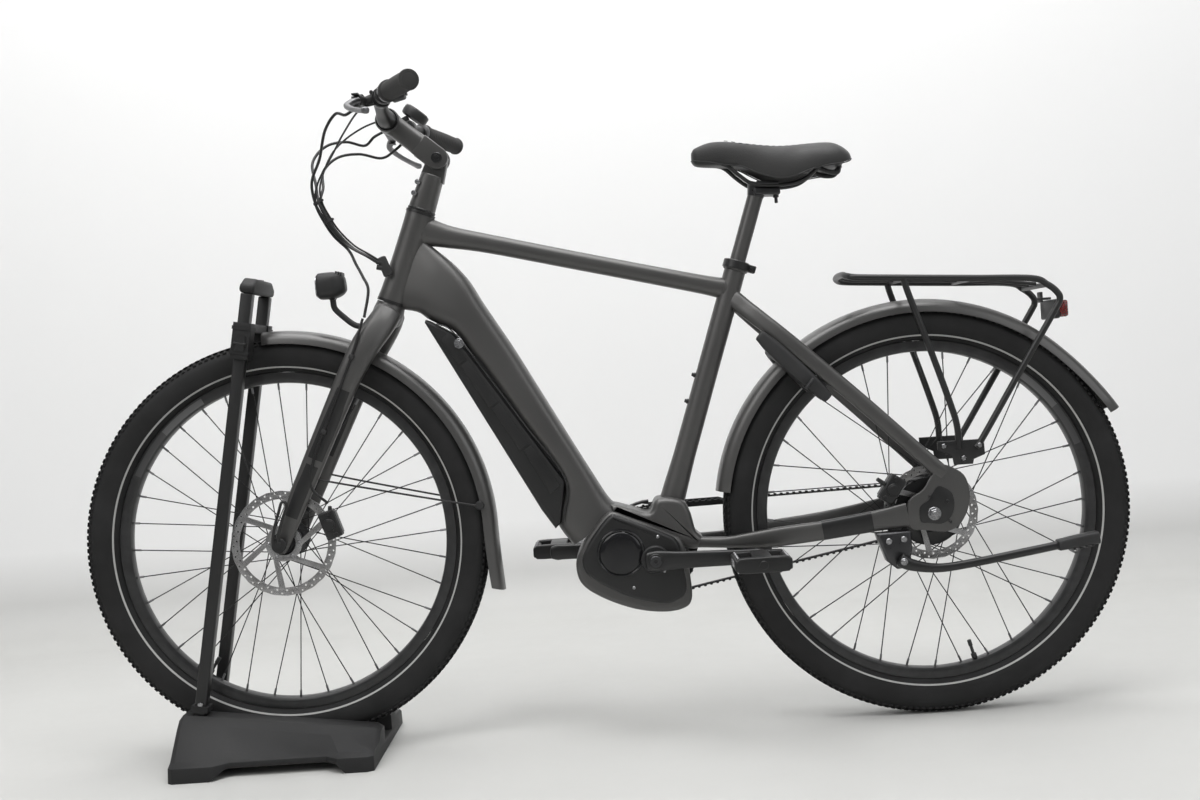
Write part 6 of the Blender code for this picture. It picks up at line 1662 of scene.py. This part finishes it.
def make_brake_lever(side, word):
    clamp = BAR_CENTRE + Vector((0.012, side * 0.142, 0.0125))
    tank = clamp + Vector((-0.033, 0, -0.006))
    way = Vector((0.25, side * 1.0, 0.0)).normalized()
    band = turned([(0.0118, -0.008), (0.0156, -0.008), (0.0162, -0.007), (0.0162, 0.007),
                   (0.0156, 0.008), (0.0118, 0.008)], clamp, way, 44)
    arm = tube([(clamp.x - 0.014, clamp.y, clamp.z - 0.001, 0.008, 0.0085),
                (clamp.x - 0.024, clamp.y, clamp.z - 0.004, 0.0078, 0.008),
                (tank.x, tank.y, tank.z, 0.008, 0.008)], 24, 3, cap=0.002)
    body = tube([(tank.x - 0.001, tank.y - side * 0.021, tank.z, 0.0066, 0.0062),
                 (tank.x, tank.y - side * 0.01, tank.z, 0.0086, 0.008),
                 (tank.x, tank.y + side * 0.014, tank.z, 0.0094, 0.0092),
                 (tank.x - 0.001, tank.y + side * 0.029, tank.z - 0.001, 0.0092, 0.009)],
                32, 2.8, Vector((0, 0, 1)), 5, 0.003)
    lid = block(tank + Vector((-0.0005, side * 0.006, 0.008)), (0.0078, 0.0175, 0.0018), None,
                0.0014)
    nut = rod(tank + Vector((-0.001, -side * 0.02, 0)),
              tank + Vector((-0.004, -side * 0.031, -0.001)),
              0.0046, 0.0036, count=24)
    bolt = clamp + Vector((-0.015, 0, 0.0095))
    screw = rod(bolt - Y_AXIS * side * 0.006, bolt + Y_AXIS * side * 0.006, 0.0034, count=16)
    lugs = [block(tank + Vector((-0.002, side * 0.038, dz - 0.003)), (0.0056, 0.0075, 0.0015),
                  None,
                  0.0008) for dz in (-0.0098, 0.0092)]
    piece(f"brake_lever_body_{word}", [band, arm, body, lid, nut, screw] + lugs, "black_satin",
          "bars", [f"brake_body_{word}"])
    post = tank + Vector((-0.002, side * 0.041, -0.004))
    rows = ((0.0, -0.008, 0.0, 0.005, 0.0062), (0.0, 0.0, 0.0, 0.0058, 0.007),
            (-0.01, 0.02, -0.01, 0.0046, 0.0054), (-0.005, 0.038, -0.0175, 0.0042, 0.005),
            (0.004, 0.055, -0.024, 0.004, 0.0048), (0.015, 0.0735, -0.03, 0.004, 0.005),
            (0.024, 0.09, -0.034, 0.0042, 0.0054), (0.032, 0.104, -0.037, 0.0052, 0.0064))
    lever = tube([(post.x + x, post.y + side * y, post.z + z, a, b) for x, y, z, a, b in rows],
                 28, 2.6, Vector((0, 0, 1)), 5, 0.003)
    pin = Vector((0.4775 * -side * -1, -0.4208, -0.7707 * side)).normalized()
    pin = rod(post - pin * 0.0088, post + pin * 0.0088, 0.0028, count=16)
    piece(f"brake_lever_blade_{word}", [lever, pin], "alloy", f"brake_lever_{word}",
          [f"brake_lever_{word}"])


def hose_runs():
    bundle = [Vector(p) for p in ((-0.46, 0, 0.948), (-0.447, 0, 0.917), (-0.432, 0, 0.892),
                                  (-0.408, -0.004, 0.866))]
    port = Vector((-0.36, -0.031, 0.835))
    runs = {
        "hose_front_brake": ([(-0.35, -0.142, 1.08), (-0.364, -0.147, 1.074),
                              (-0.376, -0.148, 1.068), (-0.395, -0.13, 1.074),
                              (-0.419, -0.105, 1.052), (-0.44, -0.06, 1.015),
                              (-0.464, -0.022, 0.982)], (-0.0045, 0.001, -0.0022)),
        "hose_rear_brake": ([(-0.353, 0.111, 1.0855), (-0.373, 0.11, 1.076),
                             (-0.392, 0.112, 1.062), (-0.42, 0.085, 1.066),
                             (-0.452, 0.06, 1.056), (-0.472, 0.035, 1.025),
                             (-0.464, 0.011, 0.982)], (0.002, -0.0042, 0.0014)),
        "cable_shift": ([(-0.32, 0.166, 1.08), (-0.344, 0.165, 1.06), (-0.37, 0.158, 1.045),
                         (-0.405, 0.128, 1.05),
                         (-0.438, 0.09, 1.04), (-0.458, 0.055, 1.012),
                         (-0.454, 0.022, 0.978)], (0.003, 0.0042, 0.0014)),
        "cable_remote": ([(-0.324, -0.16, 1.08), (-0.356, -0.128, 1.078),
                          (-0.396, -0.06, 1.056), (-0.424, -0.02, 1.03),
                          (-0.456, -0.004, 0.986)], (-0.0035, -0.0046, 0.004)),
        "cable_display": ([(-0.308, 0.052, 1.086), (-0.344, 0.058, 1.095),
                           (-0.39, 0.046, 1.078), (-0.432, 0.024, 1.04),
                           (-0.454, 0.006, 0.986)], (0.006, 0.0, 0.0056))}
    for name, (start, offset) in runs.items():
        offset = Vector(offset)
        points = [Vector(p) for p in start] + [p + offset for p in bundle]
        if name == "hose_front_brake":
            points += [Vector((-0.399, -0.018, 0.838)), Vector((-0.386, -0.036, 0.815)),
                       Vector((-0.376, -0.048, 0.79)), Vector((-0.384, -0.06, 0.744))]
        else:
            points += [port + offset * 0.8 + Vector((-0.018, -0.003, 0.013)), port + offset * 0.8]
        yield name, points


def make_hoses():
    """The hose and cable runs, which pass over the stem hinge between the bars and the first tie.
    """
    for name, points in hose_runs():
        radius = 0.0025 if name.startswith("hose") or name == "cable_shift" else 0.0017
        shape = pipe([tuple(p) for p in points], radius, 14, 9)
        made = merged([shape], f"{name}_sleeve", "cable", 60)
        if name in ("hose_front_brake", "hose_rear_brake", "cable_shift"):
            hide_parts(name)
        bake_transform(made)
    ties = []
    for at, way in (((-0.4605, 0.0, 0.95), (0.36, 0, -0.93)),
                    ((-0.445, 0.0, 0.916), (0.45, 0, -0.9))):
        at, way = Vector(at), Vector(way).normalized()
        ties.append(turned([(0.0072, -0.0016), (0.0084, -0.0016), (0.0084, 0.0016),
                            (0.0072, 0.0016)], at, way, 24))
        ties.append(block(at + Vector((0.008, -0.002, 0.004)), (0.0022, 0.0026, 0.002), None,
                          0.0006))
    piece("cable_ties", ties, "moulded", "steering")
    port = Vector((-0.356, -0.0305, 0.833))
    boots = [rod(port + Vector((-0.006, 0, 0.002 + dz)),
                 port + Vector((0.006, 0.003, dz - 0.001)),
                 0.0044, count=20) for dz in (-0.0052, 0.004)]
    piece("cable_port_boots", boots, "moulded", "frame")


def make_headlight():
    body = tube([(-0.47, 0, 0.805, 0.0205, 0.0205), (-0.466, 0, 0.8051, 0.0232, 0.0228),
                 (-0.454, 0, 0.8055, 0.0238, 0.0232), (-0.44, 0, 0.806, 0.0233, 0.0224),
                 (-0.429, 0, 0.8066, 0.018, 0.018), (-0.4235, 0, 0.807, 0.012, 0.013)],
                40, 3.0, cap=0.0015)
    arm = pipe([(-0.447, 0, 0.792), (-0.4465, 0, 0.778), (-0.444, 0, 0.765),
                (-0.43, 0, 0.75), (-0.412, 0, 0.735), (-0.393, 0, 0.73)], 0.0052, 16)
    fins = [block((-0.436 + 0.0045 * i, 0, 0.8262 - 0.0012 * i), (0.0009, 0.014, 0.003), None,
                  0.0004) for i in range(3)]
    piece("headlight_body", [body, arm] + fins, "moulded", "steering", ["headlight"])
    glass = loft([ring(Vector((x, 0, 0.805)), Y_AXIS, Vector((0, 0, 1)), a, a, 40, 3.0)
                  for x, a in ((-0.469, 0.019), (-0.4722, 0.0188), (-0.4732, 0.015),
                               (-0.4736, 0.006))])
    piece("headlight_lens", glass, "lens", "steering", slot="black_plastic")
    hinge = Vector((-0.447, 0, 0.786))
    piece("headlight_hinge", [rod(hinge - Y_AXIS * 0.009, hinge + Y_AXIS * 0.009, 0.0066),
                              rod(hinge - Y_AXIS * 0.0105, hinge - Y_AXIS * 0.0085, 0.004,
                                  count=6)], "black_satin", "steering")


# Stage ---------------------------------------------------------------------------------
def make_stage(props):
    floor = bpy.data.meshes.new("studio_floor")
    low, high, edge = -3.4, 3.4, 1.05
    rows = [(y, 0.0) for y in (-9.0, -3.0, 0.0, 0.6)]
    radius = 0.12
    rows += [(edge + radius * math.sin(math.radians(a)),
              radius - radius * math.cos(math.radians(a))) for a in range(0, 91, 6)]
    rows += [(edge + radius, 2.0), (edge + radius, 5.0)]
    points = [(x, y, z) for y, z in rows for x in (low * 3, high * 3)]
    faces = [(2 * i, 2 * i + 1, 2 * i + 3, 2 * i + 2) for i in range(len(rows) - 1)]
    floor.from_pydata(points, [], faces)
    floor.shade_smooth()
    floor.materials.append(floor_finish(tuple(props.floor)))
    made = bpy.data.objects.new("studio_floor", floor)
    bpy.context.scene.collection.objects.link(made)
    for name, place, aim, size, power, tone in (
            ("key_light", (-2.4, -2.6, 3.4), (0.0, 0.0, 0.5), 2.8, 62.0, (1.0, 0.995, 0.985)),
            ("fill_light", (3.0, -2.2, 2.2), (0.1, 0.0, 0.5), 2.6, 26.0, (0.985, 0.99, 1.0)),
            ("top_light", (0.2, 0.4, 3.8), (0.1, 0.0, 0.3), 3.4, 62.0, (1.0, 1.0, 1.0)),
            ("wall_light", (0.0, -0.5, 3.9), (0.0, 1.17, 1.0), 3.0, 104.0, (1.0, 1.0, 1.0))):
        lamp = bpy.data.lights.new(name, "AREA")
        lamp.shape, lamp.size, lamp.energy, lamp.color = "SQUARE", size, power * props.light, tone
        made = bpy.data.objects.new(name, lamp)
        made.location = place
        made.rotation_euler = (Vector(aim) - Vector(place)).to_track_quat("-Z", "Y").to_euler()
        bpy.context.scene.collection.objects.link(made)
    world = bpy.data.worlds.new("studio")
    world.use_nodes = True
    sky = world.node_tree.nodes["Background"]
    sky.inputs["Color"].default_value = (0.93, 0.94, 0.95, 1.0)
    sky.inputs["Strength"].default_value = 0.22 * props.light
    bpy.context.scene.world = world
    scene = bpy.context.scene
    scene.view_settings.view_transform = "Standard"
    lens = bpy.data.cameras.new("camera")
    lens.lens, lens.sensor_width = 40.75, 36.0
    made = bpy.data.objects.new("camera", lens)
    yaw, pitch, roll = 0.0104, -0.0231, 0.0678
    turn = (Matrix.Rotation(yaw, 3, "Z") @ Matrix.Rotation(pitch, 3, "X")
            @ Matrix.Rotation(roll, 3, "Y"))
    right, forward, up = (turn @ Vector(v) for v in ((1, 0, 0), (0, 1, 0), (0, 0, 1)))
    made.matrix_world = Matrix.Translation((0.02766, -2.35243, 0.63093)) @ Matrix(
        (right, up, -forward)).transposed().to_4x4()
    bpy.context.scene.collection.objects.link(made)
    scene.camera = made


# Add-on ----------------------------------------------------------------------------------
def colour(label, about, default):
    return bpy.props.FloatVectorProperty(name=label, description=about, default=default, size=3,
                                         subtype="COLOR", min=0.0, max=1.0)


class BicycleSettings(bpy.types.PropertyGroup):
    frame: colour("Frame paint", "Colour of the frame, fork and mudguards",
                  (0.088, 0.0865, 0.085))
    black: colour("Black paint", "Colour of the black painted parts", (0.0095, 0.0095, 0.0098))
    tyre: colour("Tyre rubber", "Colour of both tyres", (0.0125, 0.0125, 0.0127))
    saddle: colour("Saddle cover", "Colour of the saddle cover", (0.0125, 0.0123, 0.0123))
    spoke_radius: bpy.props.FloatProperty(name="Spoke radius", description="Radius of each spoke",
                                          default=0.001, min=0.0005, unit="LENGTH")
    tread_count: bpy.props.IntProperty(name="Tread blocks", default=190, min=24,
                                       description="Blocks round each row of a tyre's tread")
    belt_teeth: bpy.props.IntProperty(name="Belt teeth", description="Teeth along the whole belt",
                                      default=121, min=40)
    grip_ribs: bpy.props.IntProperty(name="Grip ribs", description="Ribs along each grip",
                                     default=18, min=4)


class StageSettings(bpy.types.PropertyGroup):
    stand: colour("Stand plastic", "Colour of the stand's moulded parts",
                  (0.0085, 0.0085, 0.0088))
    floor: colour("Floor", "Colour of the floor and backdrop", (0.56, 0.56, 0.545))
    light: bpy.props.FloatProperty(name="Light", description="Strength of all the lights",
                                   default=1.0, min=0.0, subtype="FACTOR")


class Settings:
    """Both groups' values under one roof, for the makers that need them."""

    def __init__(self, scene):
        bike, stage = scene.bicycle, scene.bicycle_stage
        for name in ("frame", "black", "tyre", "saddle"):
            setattr(self, name, tuple(getattr(bike, name)))
        self.stand, self.floor, self.light = tuple(stage.stand), tuple(stage.floor), stage.light


def run(context, label, make, *values):
    """Makes one group of pieces, its finishes first, and fails if nothing was made."""
    if "frame_paint" not in FINISHES:
        make_finishes(Settings(context.scene))
    before = len(bpy.data.objects)
    make(*values)
    if len(bpy.data.objects) <= before:
        raise RuntimeError(f"{label} made nothing")
    return {"FINISHED"}


class BICYCLE_OT_stand(bpy.types.Operator):
    """Make the stand's base, posts, cap and wheel rest"""
    bl_idname = "bicycle.stand"
    bl_label = "Wheel stand"

    def execute(self, context):
        return run(context, self.bl_label, make_stand)


class BICYCLE_OT_frame_tubes(bpy.types.Operator):
    """Make the frame's tubes and stays"""
    bl_idname = "bicycle.frame_tubes"
    bl_label = "Frame"

    def execute(self, context):
        return run(context, self.bl_label, make_frame_tubes)


class BICYCLE_OT_motor(bpy.types.Operator):
    """Make the motor's covers and the battery"""
    bl_idname = "bicycle.motor"
    bl_label = "Motor and battery"

    def execute(self, context):
        return run(context, self.bl_label, make_motor_and_battery)


class BICYCLE_OT_fork(bpy.types.Operator):
    """Make the fork and its panels"""
    bl_idname = "bicycle.fork"
    bl_label = "Fork"

    def execute(self, context):
        return run(context, self.bl_label, make_fork)


class BICYCLE_OT_tyres(bpy.types.Operator):
    """Make both tyres and their tread"""
    bl_idname = "bicycle.tyres"
    bl_label = "Tyres"

    def execute(self, context):
        return run(context, self.bl_label, make_tyres, context.scene.bicycle.tread_count)


class BICYCLE_OT_rims(bpy.types.Operator):
    """Make the rims, hubs and spokes"""
    bl_idname = "bicycle.rims"
    bl_label = "Rims and spokes"

    def execute(self, context):
        return run(context, self.bl_label, make_rims_and_spokes,
                   context.scene.bicycle.spoke_radius)


class BICYCLE_OT_brakes(bpy.types.Operator):
    """Make the discs, calipers and axles"""
    bl_idname = "bicycle.brakes"
    bl_label = "Disc brakes"

    def execute(self, context):
        return run(context, self.bl_label, make_brakes)


class BICYCLE_OT_drive(bpy.types.Operator):
    """Make the cranks, pedals, sprockets and belt"""
    bl_idname = "bicycle.drive"
    bl_label = "Belt drive"

    def execute(self, context):
        return run(context, self.bl_label, make_drive, context.scene.bicycle.belt_teeth)


class BICYCLE_OT_seat(bpy.types.Operator):
    """Make the seat post and the saddle"""
    bl_idname = "bicycle.seat"
    bl_label = "Seat"

    def execute(self, context):
        return run(context, self.bl_label, make_seat)


class BICYCLE_OT_mudguards(bpy.types.Operator):
    """Make both mudguards and their stays"""
    bl_idname = "bicycle.mudguards"
    bl_label = "Mudguards"

    def execute(self, context):
        return run(context, self.bl_label, make_mudguards)


class BICYCLE_OT_rack(bpy.types.Operator):
    """Make the rear rack and light"""
    bl_idname = "bicycle.rack"
    bl_label = "Rack"

    def execute(self, context):
        return run(context, self.bl_label, make_rack)


class BICYCLE_OT_lock(bpy.types.Operator):
    """Make the ring lock and its key"""
    bl_idname = "bicycle.lock"
    bl_label = "Frame lock"

    def execute(self, context):
        return run(context, self.bl_label, make_lock)


class BICYCLE_OT_kickstand(bpy.types.Operator):
    """Make the kickstand and its mount"""
    bl_idname = "bicycle.kickstand"
    bl_label = "Kickstand"

    def execute(self, context):
        return run(context, self.bl_label, make_kickstand)


class BICYCLE_OT_stem(bpy.types.Operator):
    """Make the stem"""
    bl_idname = "bicycle.stem"
    bl_label = "Stem"

    def execute(self, context):
        return run(context, self.bl_label, make_stem)


class BICYCLE_OT_bars(bpy.types.Operator):
    """Make the bar, grips, levers and display"""
    bl_idname = "bicycle.bars"
    bl_label = "Handlebar"

    def execute(self, context):
        return run(context, self.bl_label, make_bars, context.scene.bicycle.grip_ribs)


class BICYCLE_OT_hoses(bpy.types.Operator):
    """Make the brake hoses and cables"""
    bl_idname = "bicycle.hoses"
    bl_label = "Hoses"

    def execute(self, context):
        return run(context, self.bl_label, make_hoses)


class BICYCLE_OT_headlight(bpy.types.Operator):
    """Make the headlight"""
    bl_idname = "bicycle.headlight"
    bl_label = "Headlight"

    def execute(self, context):
        return run(context, self.bl_label, make_headlight)


MAKERS = (BICYCLE_OT_stand, BICYCLE_OT_frame_tubes, BICYCLE_OT_motor, BICYCLE_OT_fork,
          BICYCLE_OT_tyres, BICYCLE_OT_rims, BICYCLE_OT_brakes, BICYCLE_OT_drive, BICYCLE_OT_seat,
          BICYCLE_OT_mudguards, BICYCLE_OT_rack, BICYCLE_OT_lock, BICYCLE_OT_kickstand,
          BICYCLE_OT_stem, BICYCLE_OT_bars, BICYCLE_OT_hoses, BICYCLE_OT_headlight)


class BICYCLE_OT_stage(bpy.types.Operator):
    """Make the floor, the lights and the camera"""
    bl_idname = "bicycle.stage"
    bl_label = "Studio"

    def execute(self, context):
        make_stage(Settings(context.scene))
        if context.scene.camera is None:
            raise RuntimeError("the studio has no camera")
        return {"FINISHED"}


class BICYCLE_PT_panel(bpy.types.Panel):
    """Lists the sizes, the colours and every group of pieces"""
    bl_idname = "BICYCLE_PT_panel"
    bl_label = "Bicycle on stand"
    bl_space_type = "VIEW_3D"
    bl_region_type = "UI"
    bl_category = "Bicycle"

    def draw(self, context):
        for group in (context.scene.bicycle, context.scene.bicycle_stage):
            for name in group.__annotations__:
                self.layout.prop(group, name)
        for maker in [*MAKERS, BICYCLE_OT_stage]:
            self.layout.operator(maker.bl_idname)


CLASSES = [BicycleSettings, StageSettings, *MAKERS, BICYCLE_OT_stage, BICYCLE_PT_panel]


def register():
    for item in CLASSES:
        bpy.utils.register_class(item)
    bpy.types.Scene.bicycle = bpy.props.PointerProperty(type=BicycleSettings)
    bpy.types.Scene.bicycle_stage = bpy.props.PointerProperty(type=StageSettings)


def unregister():
    del bpy.types.Scene.bicycle_stage
    del bpy.types.Scene.bicycle
    for item in reversed(CLASSES):
        bpy.utils.unregister_class(item)


def main():
    register()
    bpy.ops.bicycle.stage()
    for maker in MAKERS:
        getattr(bpy.ops.bicycle, maker.bl_idname.split(".")[1])()


if __name__ == "__main__":
    main()
